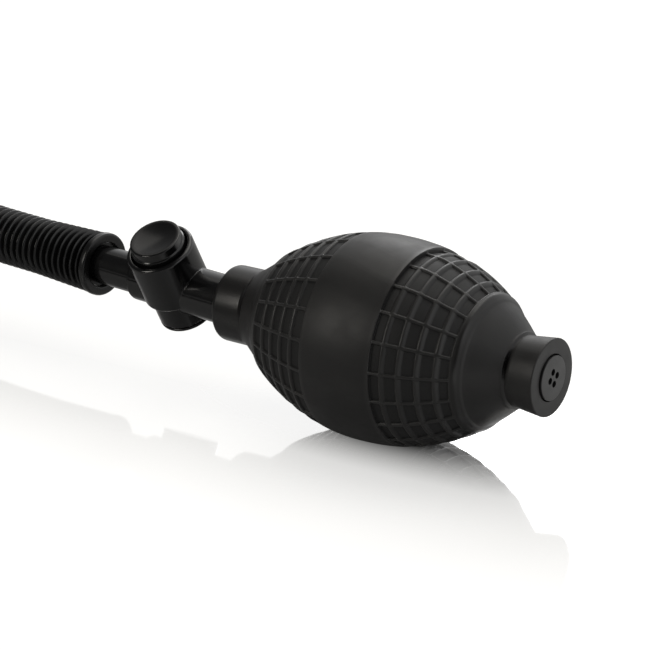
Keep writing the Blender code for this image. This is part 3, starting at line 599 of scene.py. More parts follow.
def bulb_columns(radii, turns):
    """Angles of every row's points: across each lengthwise rib, then over each pad's floor."""
    period = math.tau / PADS_AROUND
    across = across_rib(LONG_RIB_HALF)
    edge = across[-1]
    angles = []
    ramps = []
    reach = np.maximum(radii, LEAST_RIB_RADIUS)
    for rib in range(PADS_AROUND):
        start = turns + rib * period
        for offset in across:
            angles.append(start + offset / reach)
            ramps.append(rib_ramp(offset, LONG_RIB_HALF))
        for share in FLOOR_COLUMN_SHARES:
            angles.append(start + edge / reach + share * (period - 2 * edge / reach))
            ramps.append(1.0)
    return np.stack(angles, axis=1), np.array(ramps, dtype=float)


def angle_from(angles, middle_angle):
    """Signed angle from a middle, the short way round."""
    return np.remainder(angles - middle_angle + math.pi, math.tau) - math.pi


def rear_drop(places, angles):
    """How much lower the rear band lies at its front edge: most at the top, fading round the sides."""
    past_edge = places - REAR_BAND[0]
    fall = REAR_DROP * ease(past_edge / PAD_DRAFT) * (1 - ease(past_edge / REAR_DROP_REACH))
    off_top = np.abs(angle_from(angles, REAR_DROP_MIDDLE)) - REAR_DROP_HALF
    return fall[:, None] * (1 - (1 - REAR_DROP_LEAST) * ease(off_top / REAR_DROP_FADE))


def neck_turn():
    """Turn about the bulb's local Y that lays its bore along the valve's axis."""
    way = bulb_axis.to_3x3().inverted() @ outwards
    return Matrix.Rotation(math.atan2(-way.x, -way.z), 3, "Y")


def make_bulb(material):
    """Rubber bulb with its collar, tread bands, rim and flared tail, hollow as the real one is."""
    rows, body_start, body_end = bulb_outline()
    radii, places = rows[:, 0], rows[:, 1]
    index = np.arange(len(rows))
    body = (index >= body_start) & (index < body_end)
    turn_share = ease((places - FRONT_BAND[1]) / (REAR_BAND[0] - FRONT_BAND[1]))
    turns = FRONT_RIB_ANGLE + (REAR_RIB_ANGLE - FRONT_RIB_ANGLE) * turn_share
    angles, column_ramps = bulb_columns(radii, turns)
    ramps, in_band = row_ramps(places)
    pads = np.outer(np.where(body, ramps, 0.0), column_ramps)
    depth = PAD_DEPTH * pads + body[:, None] * rear_drop(places, angles)
    outside = (index >= body_start) & (index < body_end + EDGE_STEPS + 1 + len(TAIL_FLANK))
    for place, deepest, width, middle_angle, span in CREASES:
        fold = np.where(outside, np.exp(-((places - place) / width) ** 2), 0.0)
        depth += deepest * fold[:, None] * np.exp(-(angle_from(angles, middle_angle) / span) ** 2)
    slope = (bulb_radius(places + GAP) - bulb_radius(places - GAP)) / (2 * GAP)
    length = np.hypot(1.0, slope)
    deep_radii = radii[:, None] - depth / length[:, None]
    deep_places = places[:, None] + depth * (slope / length)[:, None]
    points = np.stack([deep_radii * np.cos(angles), deep_radii * np.sin(angles), deep_places], axis=-1)
    pivot = np.array((0, 0, COLLAR_FACE_AT))
    bore_rows = np.concatenate([[-1], np.arange(EDGE_STEPS + 1)])
    points[bore_rows] = (points[bore_rows] - pivot) @ np.array(neck_turn()).T + pivot
    faces = grid_faces(*angles.shape)
    verts = points.reshape(-1, 3)
    verts[:, 1] = np.maximum(verts[:, 1], -bulb_middle.z)
    skin = add_piece("bulb_skin", verts, faces, material, bulb_axis, TREAD_SHARP)
    # Ribs and band edges get a lighter colour: partly wear, partly a painted sheen
    rib_wear_and_sheen = (body & in_band)[:, None] * (1 - pads)
    rim = np.where(body, rim_swell(places), 0.0)
    rubbed = np.maximum(RIB_POLISH * rib_wear_and_sheen, rim[:, None])
    rubbed[places < SHOULDER_AT] = 1.0
    for name, values in ((PAD, pads), (WEAR_AND_SHEEN, rib_wear_and_sheen), (POLISH, rubbed)):
        layer = skin.data.attributes.new(name, "FLOAT", "POINT")
        layer.data.foreach_set("value", values.ravel())
    return skin


# Valve body: a skin drawn round distance formulas in the barrel's frame

def rod(radial, along, radius, low, high, rounding):
    """Distance from a round rod with rounded ends."""
    across = radial - radius + rounding
    lengthwise = np.abs(along - (low + high) / 2) - (high - low) / 2 + rounding
    outside = np.hypot(np.maximum(across, 0), np.maximum(lengthwise, 0))
    return outside + np.minimum(np.maximum(across, lengthwise), 0) - rounding


def melt(first, second, width):
    """Union of two distances with a fillet."""
    share = np.clip(0.5 + 0.5 * (second - first) / width, 0, 1)
    return second + (first - second) * share - width * share * (1 - share)


def valve_distance(points):
    """Distance from the valve body's skin; local X runs out along the cross tube, Z up the barrel."""
    x, y, z = points[..., 0], points[..., 1], points[..., 2]
    tube_r = np.hypot(y, z)
    barrel_r = np.hypot(x, y)
    inner = -BARREL_AT - TUBE_INSERT
    step = TUBE_END - BARREL_AT
    stop = SPIGOT_END - BARREL_AT
    tip = stop + BARB_LENGTH
    cross = np.minimum(rod(tube_r, x, TUBE_RADIUS, inner, step, TUBE_STEP_ROUND),
                       rod(tube_r, x, SPIGOT_RADIUS, 0, stop, FINE_EDGE))
    cross = np.minimum(cross, rod(tube_r, x, BARB_RADIUS, 0, tip, SOFT_EDGE))
    upright = np.minimum(rod(barrel_r, z, BARREL_RADIUS, BARREL_BOTTOM, BARREL_TOP, BARREL_ROUND),
                         rod(barrel_r, z, BOSS_RADIUS, BOSS_BOTTOM, BARREL_TOP / 2, FINE_EDGE))
    past = TUBE_INSERT
    hollows = (
        rod(tube_r, x, OUTLET_BORE, inner - past, OUTLET_END - BARREL_AT, 0),
        rod(tube_r, x, TUBE_BORE, inner - past, step, 0),
        rod(tube_r, x, BARB_BORE, inner - past, tip + past, 0),
        rod(barrel_r, z, BUTTON_BORE, BARREL_FLOOR, BARREL_TOP + past, 0),
        rod(barrel_r, z, GLAND_RADIUS, GLAND_FLOOR, BARREL_TOP, 0),
        rod(barrel_r, z, STEM_HOLE, 0, BARREL_TOP, 0),
        rod(barrel_r, z, SEAT_HOLE, BOSS_BOTTOM, 0, 0),
        rod(barrel_r, z, CHAMBER_RADIUS, BOSS_BOTTOM - past, SEAT_AT, 0),
    )
    solid = melt(cross, upright, JOIN_FILLET)
    return -melt(-solid, np.minimum.reduce(hollows), RIM_FILLET)


def slope_of(distance, points):
    """Gradient of a distance formula."""
    ways = np.eye(3) * SKIN_SLOPE_STEP
    rises = [distance(points + way) - distance(points - way) for way in ways]
    return np.stack(rises, axis=-1) / (2 * SKIN_SLOPE_STEP)


def draw_skin(distance, low, high, step):
    """Quads over a distance formula's zero surface: a point in each crossed cell, pulled onto it."""
    axes = [np.arange(a, b + step, step) for a, b in zip(low, high)]
    spots = np.stack(np.meshgrid(*axes, indexing="ij"), axis=-1)
    depth = distance(spots)
    cells = tuple(n - 1 for n in depth.shape)
    total = np.zeros(cells + (3,))
    count = np.zeros(cells)
    quads = []
    for axis in range(3):
        one, two = (axis + 1) % 3, (axis + 2) % 3
        near = np.take(depth, range(cells[axis]), axis=axis)
        far = np.take(depth, range(1, cells[axis] + 1), axis=axis)
        crossed = (near < 0) != (far < 0)
        place = np.argwhere(crossed)
        share = near[crossed] / (near[crossed] - far[crossed])
        point = np.array(low) + place * step
        point[:, axis] += share * step
        corners = []
        for back_one, back_two in ((1, 1), (0, 1), (0, 0), (1, 0)):
            cell = place.copy()
            cell[:, one] -= back_one
            cell[:, two] -= back_two
            where = tuple(cell.T)
            np.add.at(total, where, point)
            np.add.at(count, where, 1)
            corners.append(np.ravel_multi_index(where, cells))
        loop = np.stack(corners, axis=1)
        quads.append(np.where((near[crossed] < 0)[:, None], loop, loop[:, ::-1]))
    used = np.flatnonzero(count)
    verts = total.reshape(-1, 3)[used] / count.ravel()[used, None]
    number = np.zeros(count.size, dtype=int)
    number[used] = np.arange(len(used))
    for _ in range(SKIN_PULLS):
        slope = slope_of(distance, verts)
        steepness = np.maximum((slope ** 2).sum(axis=1), SKIN_LEAST_SLOPE)
        verts -= distance(verts)[:, None] * slope / steepness[:, None]
    return verts, number[np.concatenate(quads)]


def make_valve_body(material):
    """Cross tube, upright barrel and hose spigot as one moulded shell."""
    low = (-BARREL_AT - TUBE_INSERT, -BARREL_RADIUS, BOSS_BOTTOM)
    high = (SPIGOT_END + BARB_LENGTH - BARREL_AT, BARREL_RADIUS, BARREL_TOP)
    start = [place - SKIN_MARGIN for place in low]
    end = [place + SKIN_MARGIN for place in high]
    verts, faces = draw_skin(valve_distance, start, end, SKIN_STEP)
    body = add_piece("valve_shell", verts, faces, material, barrel_axis, NOWHERE_SHARP)
    normals = unit(slope_of(valve_distance, verts))
    body.data.normals_split_custom_set_from_vertices([tuple(n) for n in normals])
    return body


# Button, spring and cap

def make_button(material):
    """Push button with a shallow dish in its top, a rounded edge and a skirt in the barrel's bore."""
    lip = BUTTON_RADIUS - BUTTON_LIP
    shares = [ring / BUTTON_DISH_RINGS for ring in range(BUTTON_DISH_RINGS + 1)]
    dish = [(lip * share, BUTTON_TOP - BUTTON_DISH * (1 - share ** 2), 0) for share in shares]
    return turned("button_cap", dish + [
        (BUTTON_RADIUS, BUTTON_TOP, BUTTON_LIP),
        (BUTTON_RADIUS, BUTTON_STEP_AT, FINE_EDGE),
        (SKIRT_RADIUS, BUTTON_STEP_AT - BUTTON_STEP_FALL, FINE_EDGE),
        (SKIRT_RADIUS, SKIRT_BOTTOM, FINE_EDGE),
        (SKIRT_RADIUS - SKIRT_WALL, SKIRT_BOTTOM, FINE_EDGE),
        (SKIRT_RADIUS - SKIRT_WALL, BUTTON_UNDERSIDE, 0),
        (BUTTON_BOSS_RADIUS, BUTTON_UNDERSIDE, 0),
        (BUTTON_BOSS_RADIUS, BUTTON_BOSS_BOTTOM, 0),
        (STEM_HOLE, BUTTON_BOSS_BOTTOM, 0),
        (STEM_HOLE, PIN_SOCKET_TOP, 0),
        (0, PIN_SOCKET_TOP, 0),
    ], material, barrel_axis)


def make_spring(material):
    """Return spring coiled from the washer up to the button's underside."""
    low = WASHER_TOP + GAP + SPRING_WIRE
    high = BUTTON_UNDERSIDE - GAP - SPRING_WIRE
    count = SPRING_TURNS * SPRING_POINTS_PER_TURN
    turn = np.linspace(0, SPRING_TURNS * math.tau, count + 1)
    climb = (high - low) / turn[-1]
    circle_x = SPRING_RADIUS * np.cos(turn)
    circle_y = SPRING_RADIUS * np.sin(turn)
    centres = np.stack([circle_x, circle_y, low + climb * turn], axis=1)
    tangents = unit(np.stack([-circle_y, circle_x, np.full(len(turn), climb)], axis=1))
    rings = sweep(centres, tangents, np.full(len(turn), SPRING_WIRE), WIRE_SIDES)
    faces = [list(face) for face in grid_faces(len(turn), WIRE_SIDES, ring=False)]
    last = (len(turn) - 1) * WIRE_SIDES
    faces += [list(range(WIRE_SIDES))[::-1], list(range(last, last + WIRE_SIDES))]
    return add_piece("spring_coil", rings.reshape(-1, 3), faces, material, barrel_axis)


def make_cap(material):
    """Cap under the barrel with its four vents."""
    cap = turned("vent_cap", [
        (0, CAP_BOTTOM, 0),
        (BOSS_RADIUS, CAP_BOTTOM, SOFT_EDGE),
        (BOSS_RADIUS, CAP_SHOULDER, FINE_EDGE),
        (CAP_PLUG_RADIUS, CAP_SHOULDER, 0),
        (CAP_PLUG_RADIUS, CAP_RIM_TOP, 0),
        (CAP_BORE, CAP_RIM_TOP, 0),
        (CAP_BORE, CAP_FLOOR_AT, 0),
        (0, CAP_FLOOR_AT, 0),
    ], material, barrel_axis)
    drill(cap, VENT_CIRCLE, VENT_RADIUS, CAP_BOTTOM - GAP, CAP_FLOOR_AT + GAP, material)
    return cap


def make_insert(material):
    """Insert in the tail with its four air holes."""
    face = TAIL_FACE_AT + INLET_PROUD
    back = face - INLET_DEPTH
    insert = turned("tail_insert", [
        (0, face, 0),
        (INLET_RADIUS, face, FINE_EDGE),
        (INLET_RADIUS, back + INLET_FLANGE, 0),
        (INLET_FLANGE_RADIUS, back + INLET_FLANGE, 0),
        (INLET_FLANGE_RADIUS, back, 0),
        (INLET_BORE, back, 0),
        (INLET_BORE, face - INLET_PLATE, 0),
        (0, face - INLET_PLATE, 0),
    ], material, bulb_axis)
    drill(insert, INLET_HOLE_CIRCLE, INLET_HOLE_RADIUS, face - INLET_PLATE - GAP, face + GAP, material,
          INLET_HOLE_TURN)
    return insert


# Hose and what is on it

def hose_route():
    """Dense centreline of the hose from its stop on the spigot to the connector."""
    start = neck_point + outwards * (SPIGOT_END + GAP)
    straight = [start + outwards * run * MM for run in HOSE_STRAIGHT]
    lay = [Vector((neck_point.x + x * MM, y * MM, z * MM)) for x, y, z in HOSE_LAY]
    return smooth_route(straight + lay)


def hose_outline(length):
    """Distances and radii along the hose's ribbed outside: round crests between deep grooves."""
    ribbed = length - 2 * HOSE_TAIL
    ribs = round(ribbed / HOSE_RIB_PITCH)
    phase = np.arange(HOSE_RIB_POINTS) / HOSE_RIB_POINTS
    bulge = np.sin(math.pi * phase) ** HOSE_RIB_POWER
    distance = HOSE_TAIL + (np.arange(ribs)[:, None] + phase[None, :]).ravel() * ribbed / ribs
    from_end = np.minimum(distance, length - distance)
    crest = HOSE_RIB_HEIGHT + HOSE_FLARE * np.clip(1 - from_end / HOSE_FLARE_LENGTH, 0, 1)
    radii = HOSE_ROOT + crest * np.tile(bulge, ribs)
    distances = np.concatenate([[0.0], distance, [length - HOSE_TAIL, length]])
    return distances, np.concatenate([[HOSE_ROOT], radii, [HOSE_ROOT, HOSE_ROOT]])


def make_hose(material, route):
    """Ribbed hose along its route, open through its bore, and its length."""
    travelled = route_distances(route)
    length = travelled[-1]
    outer, radii = hose_outline(length)
    inner = spaced(length, 0, HOSE_RIB_PITCH)
    distances = np.concatenate([outer, inner])
    radii = np.concatenate([radii, np.full(len(inner), HOSE_BORE)])
    centres = at_distances(distances, travelled, route)
    ways = np.gradient(route, travelled, axis=0)
    tangents = unit(at_distances(distances, travelled, ways))
    rings = sweep(centres, tangents, radii, HOSE_SIDES)
    faces = grid_faces(len(rings), HOSE_SIDES)[:, ::-1]
    hose = add_piece("hose_ribbed", rings.reshape(-1, 3), faces, material, sharp=HOSE_SHARP)
    return hose, length


def make_cuff(name, material, place, rib_side):
    """Plain sleeve round a tail of the hose, with a rounded mouth."""
    back = rib_side - math.copysign(GAP, rib_side)
    face = back - math.copysign(CUFF_LENGTH, rib_side)
    return turned(name, [
        (CUFF_BORE, back, 0),
        (CUFF_RADIUS, back, SOFT_EDGE),
        (CUFF_RADIUS, face, CUFF_ROUND),
        (CUFF_BORE, face, SOFT_EDGE),
    ], material, place)


def make_connector(plastic, rubber, place):
    """Push-fit connector: barb in the hose, flange on the cuff, tapered nozzle with a grooved seal."""
    flange = CUFF_LENGTH - HOSE_TAIL + 2 * GAP
    nozzle = flange + CONNECTOR_FLANGE
    tip = nozzle + NOZZLE_LENGTH
    groove = nozzle + NOZZLE_GROOVE_AT
    groove_radius = NOZZLE_RADIUS - NOZZLE_GROOVE_DEPTH
    connector = turned("connector_nozzle", [
        (BARB_BORE, -BARB_LENGTH, 0),
        (BARB_RADIUS, -BARB_LENGTH, SOFT_EDGE),
        (BARB_RADIUS, GAP, 0),
        (SPIGOT_RADIUS, GAP, 0),
        (SPIGOT_RADIUS, flange, FINE_EDGE),
        (CONNECTOR_FLANGE_RADIUS, flange, FINE_EDGE),
        (CONNECTOR_FLANGE_RADIUS, nozzle, SOFT_EDGE),
        (NOZZLE_RADIUS, nozzle, SOFT_EDGE),
        (NOZZLE_RADIUS, groove, FINE_EDGE),
        (groove_radius, groove, FINE_EDGE),
        (groove_radius, groove + NOZZLE_GROOVE_WIDTH, FINE_EDGE),
        (NOZZLE_RADIUS, groove + NOZZLE_GROOVE_WIDTH, FINE_EDGE),
        (NOZZLE_RADIUS - NOZZLE_TAPER, tip, SOFT_EDGE),
        (BARB_BORE, tip, FINE_EDGE),
    ], plastic, place)
    ring = groove_radius + GAP + NOZZLE_SEAL_CORD
    height = groove + NOZZLE_GROOVE_WIDTH / 2
    cord = []
    for side in range(WIRE_SIDES):
        angle = side * math.tau / WIRE_SIDES
        across = NOZZLE_SEAL_CORD * math.cos(angle)
        cord.append((ring + across, height + NOZZLE_SEAL_CORD * math.sin(angle), 0))
    return connector, turned("nozzle_seal", cord, rubber, place)


# Shader steps

def shader_step(tree, kind, inputs, output, **settings):
    """Add a shader step with its inputs linked or set, and hand back one of its outputs."""
    step = tree.nodes.new("ShaderNode" + kind)
    for name, value in settings.items():
        setattr(step, name, value)
    for key, value in inputs.items():
        if isinstance(value, bpy.types.NodeSocket):
            tree.links.new(value, step.inputs[key])
        else:
            step.inputs[key].default_value = value
    return step.outputs[output]


def math_step(tree, operation, first, second):
    """Arithmetic on two values."""
    return shader_step(tree, "Math", {0: first, 1: second}, "Value", operation=operation)


def vector_step(tree, operation, value, operand=(0, 0, 0)):
    """Vector operation on a value and a constant."""
    output = "Value" if operation in ("LENGTH", "DOT_PRODUCT") else "Vector"
    return shader_step(tree, "VectorMath", {0: value, 1: operand}, output, operation=operation)


def mix_step(tree, kind, factor, first, second):
    """Blend of two values of one kind."""
    inputs = {"Factor": factor, "A": first, "B": second}
    return shader_step(tree, "Mix", inputs, "Result", data_type=kind)


def remap(tree, value, source, target, curve="LINEAR"):
    """Move a value from one range to another and hold it at both ends."""
    inputs = {"Value": value, "From Min": source[0], "From Max": source[1],
              "To Min": target[0], "To Max": target[1]}
    return shader_step(tree, "MapRange", inputs, "Result", interpolation_type=curve)


# Surface noise, scales per metre
CLOUD_SCALE = 45.0
CLOUD_DETAIL = 5.0
POLISH_SCALE = 139.5
POLISH_DETAIL = 4.0
GRAIN_DETAIL = 2.0
GRAIN_STRENGTH = 0.6
NOISE_ROUGHNESS = 0.55
NOISE_RANGE = (0.3, 0.7)

# Bulb's rubber: rougher pads whose floors are darkened with painted shade, smoother where polished, and
# ribs lighter in colour for wear and a painted sheen
PAD_ROUGHNESS = 0.6
PAD_SHADE_COLOUR = (0.006, 0.006, 0.006, 1.0)
POLISHED_ROUGHNESS = 0.28
WEAR_AND_SHEEN_COLOUR = (0.02, 0.0195, 0.019, 1.0)


# Materials

def noise(tree, scale, detail):
    """Noise in the piece's own coordinates."""
    place = shader_step(tree, "TexCoord", {}, "Object")
    inputs = {"Vector": place, "Scale": scale, "Detail": detail, "Roughness": NOISE_ROUGHNESS}
    return shader_step(tree, "TexNoise", inputs, "Fac")


def make_material(name, dark, light, roughness, grain, grain_depth, specular=0.5, metallic=0.0):
    """Moulded surface: clouded tone, uneven polish and a fine grain."""
    material = bpy.data.materials.new(name)
    material.use_nodes = True
    tree = material.node_tree
    shader = tree.nodes["Principled BSDF"]
    shader.inputs["Metallic"].default_value = metallic
    shader.inputs["Specular IOR Level"].default_value = specular
    clouds = remap(tree, noise(tree, CLOUD_SCALE, CLOUD_DETAIL), NOISE_RANGE, (0.0, 1.0))
    tone = mix_step(tree, "RGBA", clouds, (*dark, 1.0), (*light, 1.0))
    tree.links.new(tone, shader.inputs["Base Color"])
    polish = remap(tree, noise(tree, POLISH_SCALE, POLISH_DETAIL), NOISE_RANGE, roughness)
    tree.links.new(polish, shader.inputs["Roughness"])
    relief = noise(tree, grain, GRAIN_DETAIL)
    inputs = {"Strength": GRAIN_STRENGTH, "Distance": grain_depth, "Height": relief}
    tree.links.new(shader_step(tree, "Bump", inputs, "Normal"), shader.inputs["Normal"])
    return material


def blend_where(material, attribute, socket, value):
    """Blend a shader input towards a value where a mesh attribute is high."""
    tree = material.node_tree
    target = tree.nodes["Principled BSDF"].inputs[socket]
    place = shader_step(tree, "Attribute", {}, "Fac", attribute_name=attribute)
    kind = "RGBA" if target.type == "RGBA" else "FLOAT"
    blend = mix_step(tree, kind, place, target.links[0].from_socket, value)
    tree.links.new(blend, target)


bulb_rubber = make_material(
    "bulb_rubber", dark=(0.009, 0.0087, 0.0086), light=(0.013, 0.0125, 0.0122),
    roughness=(0.44, 0.54), grain=2600.0, grain_depth=0.02 * MM, specular=0.38,
)
blend_where(bulb_rubber, PAD, "Roughness", PAD_ROUGHNESS)
# Painted shade: the pad floors are darkened in colour as if in the shade of their recesses
blend_where(bulb_rubber, PAD, "Base Color", PAD_SHADE_COLOUR)
blend_where(bulb_rubber, POLISH, "Roughness", POLISHED_ROUGHNESS)
# Ribs lightened in colour: partly wear, partly a painted sheen
blend_where(bulb_rubber, WEAR_AND_SHEEN, "Base Color", WEAR_AND_SHEEN_COLOUR)
hose_rubber = make_material(
    "hose_rubber", dark=(0.003, 0.003, 0.0031), light=(0.0045, 0.0045, 0.0047),
    roughness=(0.24, 0.34), grain=3000.0, grain_depth=0.006 * MM, specular=0.42,
)
seal_rubber = make_material(
    "seal_rubber", dark=(0.006, 0.006, 0.006), light=(0.01, 0.01, 0.01),
    roughness=(0.6, 0.75), grain=2600.0, grain_depth=0.03 * MM,
)
valve_plastic = make_material(
    "valve_plastic", dark=(0.004, 0.004, 0.0042), light=(0.006, 0.006, 0.0062),
    roughness=(0.13, 0.18), grain=3500.0, grain_depth=0.006 * MM,
)
insert_plastic = make_material(
    "insert_plastic", dark=(0.012, 0.012, 0.012), light=(0.018, 0.018, 0.018),
    roughness=(0.35, 0.45), grain=3000.0, grain_depth=0.02 * MM,
)
pin_steel = make_material(
    "pin_steel", dark=(0.5, 0.5, 0.51), light=(0.62, 0.62, 0.63),
    roughness=(0.22, 0.34), grain=4000.0, grain_depth=0.004 * MM, metallic=1.0,
)

# Pieces and what they stand for
route = hose_route()
start_axis = axis_frame(route[0], outwards, UP)
end_axis = axis_frame(route[-1], route[-1] - route[-2], UP)

bulb = make_bulb(bulb_rubber)
insert = make_insert(insert_plastic)
valve_shell = make_valve_body(valve_plastic)
button = make_button(valve_plastic)
spring = make_spring(pin_steel)
cap = make_cap(valve_plastic)
hose, hose_length = make_hose(hose_rubber, route)
cuff = make_cuff("cuff_sleeve", hose_rubber, start_axis, HOSE_TAIL)
end_cuff = make_cuff("end_cuff_sleeve", hose_rubber, end_axis, -HOSE_TAIL)
connector, nozzle_seal = make_connector(valve_plastic, seal_rubber, end_axis)

STANDS_FOR = (
    (bulb, "bulb", "pump", "bulb_rubber"),
    (insert, "inlet_housing", "pump", "insert_plastic"),
    (valve_shell, "valve_body", "pump", "valve_plastic"),
    (button, "push_button", "button", "valve_plastic"),
    (spring, "return_spring", "pump", "pin_steel"),
    (cap, "bottom_cap", "pump", "valve_plastic"),
    (hose, "hose", "pump", "hose_rubber"),
    (cuff, "hose_cuff", "pump", "hose_rubber"),
    (end_cuff, "hose_end_cuff", "pump", "hose_rubber"),
    (connector, "hose_connector", "pump", "valve_plastic"),
    (nozzle_seal, "connector_seal", "pump", "seal_rubber"),
)
for piece, node, body, slot in STANDS_FOR:
    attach(piece, body)
    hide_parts(node)

KEPT_NODES = (
    ("inlet_flap", seal_rubber),
    ("outlet_flap", seal_rubber),
    ("poppet_seal", seal_rubber),
    ("stem_o_ring", seal_rubber),
    ("inlet_retainer", insert_plastic),
    ("outlet_seat", insert_plastic),
    ("outlet_cage", insert_plastic),
    ("valve_pin", pin_steel),
    ("spring_washer", pin_steel),
)
for node, material in KEPT_NODES:
    frame["nodes"][node].data.materials.clear()
    frame["nodes"][node].data.materials.append(material)

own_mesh(spring)


# Camera

def make_camera():
    """Camera that looks from the view's bearing and height, with the view point on its pixel."""
    away = Vector((
        math.sin(VIEW_BEARING) * math.cos(VIEW_HEIGHT),
        -math.cos(VIEW_BEARING) * math.cos(VIEW_HEIGHT),
        math.sin(VIEW_HEIGHT),
    ))
    right = Vector((math.cos(VIEW_BEARING), math.sin(VIEW_BEARING), 0))
    level = Matrix((right, away.cross(right), away)).transposed()
    turn = level @ Matrix.Rotation(VIEW_ROLL, 3, "Z")
    left_by = IMAGE_PIXELS / 2 - VIEW_POINT_PIXEL[0]
    down_by = VIEW_POINT_PIXEL[1] - IMAGE_PIXELS / 2
    aim = Vector((left_by / FOCAL_PIXELS, down_by / FOCAL_PIXELS, -1))
    back = -(turn @ aim).normalized()
    side = (turn @ Vector((0, 1, 0))).cross(back).normalized()
    data = bpy.data.cameras.new("camera")
    data.sensor_width = SENSOR_WIDTH
    data.lens = FOCAL_PIXELS * SENSOR_WIDTH / IMAGE_PIXELS
    data.clip_start = NEAR_CLIP
    camera = bpy.data.objects.new("camera", data)
    place = Matrix.Translation(bulb_middle + VIEW_POINT_FROM_BULB + away * VIEW_DISTANCE)
    camera.matrix_world = place @ Matrix((side, back.cross(side), back)).transposed().to_4x4()
    bpy.context.collection.objects.link(camera)
    bpy.context.scene.camera = camera


make_camera()


# Softboxes: name, way from the bulb, width, height, radiance, colour
LIGHT_DISTANCE = 1.1
WARM_WHITE = (1.0, 0.965, 0.9)
PURE_WHITE = (1.0, 1.0, 1.0)
SOFTBOXES = (
    ("top_softbox", (-0.1, 0.35, 1.0), 1.0, 0.7, 1.5, WARM_WHITE),
    ("right_softbox", (0.72, -0.25, 0.6), 0.5, 0.5, 0.6, PURE_WHITE),
    ("left_softbox", (-0.48, -0.76, 0.44), 0.3, 0.5, 6.0, WARM_WHITE),
    ("rim_softbox", (0.97, 0.1, 0.16), 0.35, 0.35, 1.3, PURE_WHITE),
    ("back_softbox", (-0.35, 0.8, 0.5), 0.4, 0.5, 3.6, PURE_WHITE),
    ("dish_softbox", (-0.5, 0.27, 0.82), 0.42, 0.42, 0.5, WARM_WHITE),
)


def add_softbox(name, direction, width, height, radiance, colour):
    """Rectangular light that faces the bulb; radiance is what a mirror would show of it."""
    way = Vector(direction).normalized()
    data = bpy.data.lights.new(name, "AREA")
    data.shape = "RECTANGLE"
    data.size = width
    data.size_y = height
    data.energy = radiance * width * height * math.pi
    data.color = colour
    lamp = bpy.data.objects.new(name, data)
    lamp.location = bulb_middle + way * LIGHT_DISTANCE
    lamp.rotation_mode = "QUATERNION"
    lamp.rotation_quaternion = (-way).to_track_quat("-Z", "Y")
    bpy.context.collection.objects.link(lamp)


for softbox in SOFTBOXES:
    add_softbox(*softbox)

# Surroundings: the bright side, where it begins and ends, its dim and bright levels, and the fill light
BRIGHT_SIDE = Vector((0.5, 0.85, 0.0))
BRIGHT_EDGE = (-0.3, 0.4)
BRIGHT_LEVELS = (0.06, 0.9)
FILL_LIGHT = 0.3


def make_world():
    """White to the camera; in reflections bright behind and to the right; plain fill light."""
    world = bpy.data.worlds.new("studio")
    world.use_nodes = True
    tree = world.node_tree
    background = tree.nodes["Background"]
    way = shader_step(tree, "TexCoord", {}, "Generated")
    towards = vector_step(tree, "DOT_PRODUCT", way, BRIGHT_SIDE)
    mirrored = remap(tree, towards, BRIGHT_EDGE, BRIGHT_LEVELS, "SMOOTHSTEP")
    glossy = shader_step(tree, "LightPath", {}, "Is Glossy Ray")
    seen = shader_step(tree, "LightPath", {}, "Is Camera Ray")
    unseen = mix_step(tree, "FLOAT", glossy, FILL_LIGHT, mirrored)
    tree.links.new(mix_step(tree, "FLOAT", seen, unseen, 1.0), background.inputs["Strength"])
    background.inputs["Color"].default_value = (1, 1, 1, 1)
    bpy.context.scene.world = world


make_world()

# Floor: its own tone, its glow, and how it mirrors along the object and where the bulb touches
FLOOR_HALF = 6.0
FLOOR_DROP = 0.02 * MM
FLOOR_COLOUR = (0.34, 0.34, 0.34, 1.0)
GLOW_COLOUR = (1.0, 0.995, 0.98, 1.0)
CAMERA_GLOW = 0.84
GLOSSY_GLOW = 0.11
BACK_GLOW = 0.75
BACK_GLOW_START = 60.0 * MM
BACK_GLOW_END = 115.0 * MM
FLOOR_WHITE_SIDE = Vector((1.0, 0.2, 0.0))
MIRROR_ROUGHNESS = 0.05
MIRROR_NEAR = 0.43
MIRROR_REACH = 95.0 * MM
MIRROR_POWER = 2.0
MIRROR_SHIFT = -25.0 * MM
MIRROR_HALF = 125.0 * MM
CONTACT_NEAR = 0.7
CONTACT_REACH = 25.0 * MM
CONTACT_POWER = 1.3
CONTACT_STRETCH = 3.4
CONTACT_SHIFT = 2.0 * MM


def fading(tree, distance, near, reach, power):
    """Share that falls from a value at no distance to nothing at its reach."""
    left = remap(tree, distance, (0.0, reach), (1.0, 0.0))
    return math_step(tree, "MULTIPLY", math_step(tree, "POWER", left, power), near)


def floor_distance(tree, shift, half_length, stretch):
    """Distance over the floor from a line along X under the bulb, each axis scaled by its stretch."""
    place = shader_step(tree, "NewGeometry", {}, "Position")
    line_middle = (bulb_middle.x + shift, bulb_middle.y, 0)
    offset = vector_step(tree, "SUBTRACT", place, line_middle)
    past_end = vector_step(tree, "SUBTRACT", vector_step(tree, "ABSOLUTE", offset), (half_length, 0, 0))
    scaled = vector_step(tree, "MULTIPLY", vector_step(tree, "MAXIMUM", past_end), stretch)
    return vector_step(tree, "LENGTH", scaled)


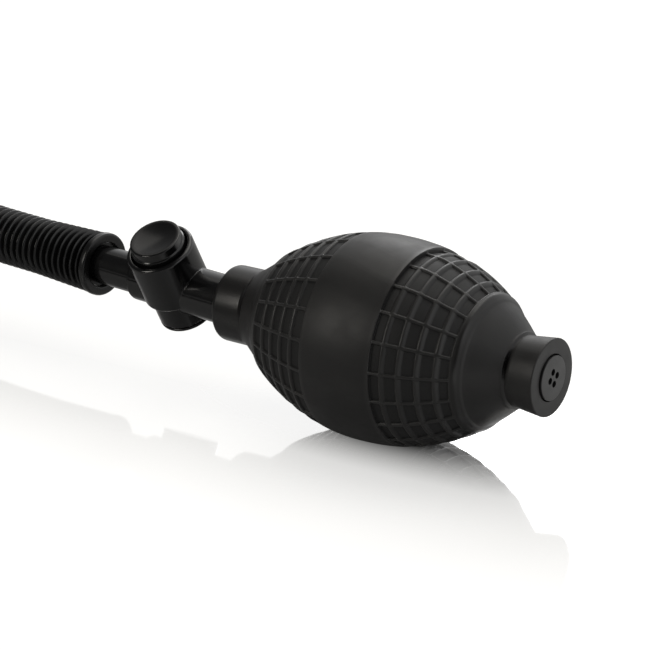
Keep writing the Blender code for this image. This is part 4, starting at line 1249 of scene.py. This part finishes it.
def back_glow(tree):
    """Glow of the floor in reflections: dim near the object, white beyond its tail."""
    place = shader_step(tree, "NewGeometry", {}, "Position")
    reach = vector_step(tree, "DOT_PRODUCT", place, FLOOR_WHITE_SIDE)
    under_bulb = FLOOR_WHITE_SIDE.dot(bulb_middle)
    edge = (BACK_GLOW_START + under_bulb, BACK_GLOW_END + under_bulb)
    return remap(tree, reach, edge, (GLOSSY_GLOW, BACK_GLOW), "SMOOTHSTEP")


def make_floor():
    """White polished floor: keeps the shadow, and mirrors the object weakly close to it."""
    material = bpy.data.materials.new("white_floor")
    material.use_nodes = True
    tree = material.node_tree
    tree.nodes.remove(tree.nodes["Principled BSDF"])
    diffuse = shader_step(tree, "BsdfDiffuse", {"Color": FLOOR_COLOUR}, "BSDF")
    seen = shader_step(tree, "LightPath", {}, "Is Camera Ray")
    glossy = shader_step(tree, "LightPath", {}, "Is Glossy Ray")
    bright = math_step(tree, "MULTIPLY", seen, CAMERA_GLOW)
    mirrored = math_step(tree, "MULTIPLY", glossy, back_glow(tree))
    level = math_step(tree, "ADD", bright, mirrored)
    glow = shader_step(tree, "Emission", {"Color": GLOW_COLOUR, "Strength": level}, "Emission")
    white = shader_step(tree, "AddShader", {0: diffuse, 1: glow}, "Shader")
    polish = {"Color": (1, 1, 1, 1), "Roughness": MIRROR_ROUGHNESS}
    mirror = shader_step(tree, "BsdfGlossy", polish, "BSDF")
    from_line = floor_distance(tree, MIRROR_SHIFT, MIRROR_HALF, (1, 1, 0))
    from_contact = floor_distance(tree, CONTACT_SHIFT, 0, (1 / CONTACT_STRETCH, 1, 0))
    along = fading(tree, from_line, MIRROR_NEAR, MIRROR_REACH, MIRROR_POWER)
    contact = fading(tree, from_contact, CONTACT_NEAR, CONTACT_REACH, CONTACT_POWER)
    share = math_step(tree, "ADD", along, contact)
    surface = shader_step(tree, "MixShader", {"Fac": share, 1: white, 2: mirror}, "Shader")
    tree.links.new(surface, tree.nodes["Material Output"].inputs["Surface"])
    signs = ((-1, -1), (1, -1), (1, 1), (-1, 1))
    corners = [(x * FLOOR_HALF, y * FLOOR_HALF, -FLOOR_DROP) for x, y in signs]
    add_piece("floor", corners, [(0, 1, 2, 3)], material)


make_floor()
bpy.context.scene.view_settings.view_transform = "Standard"
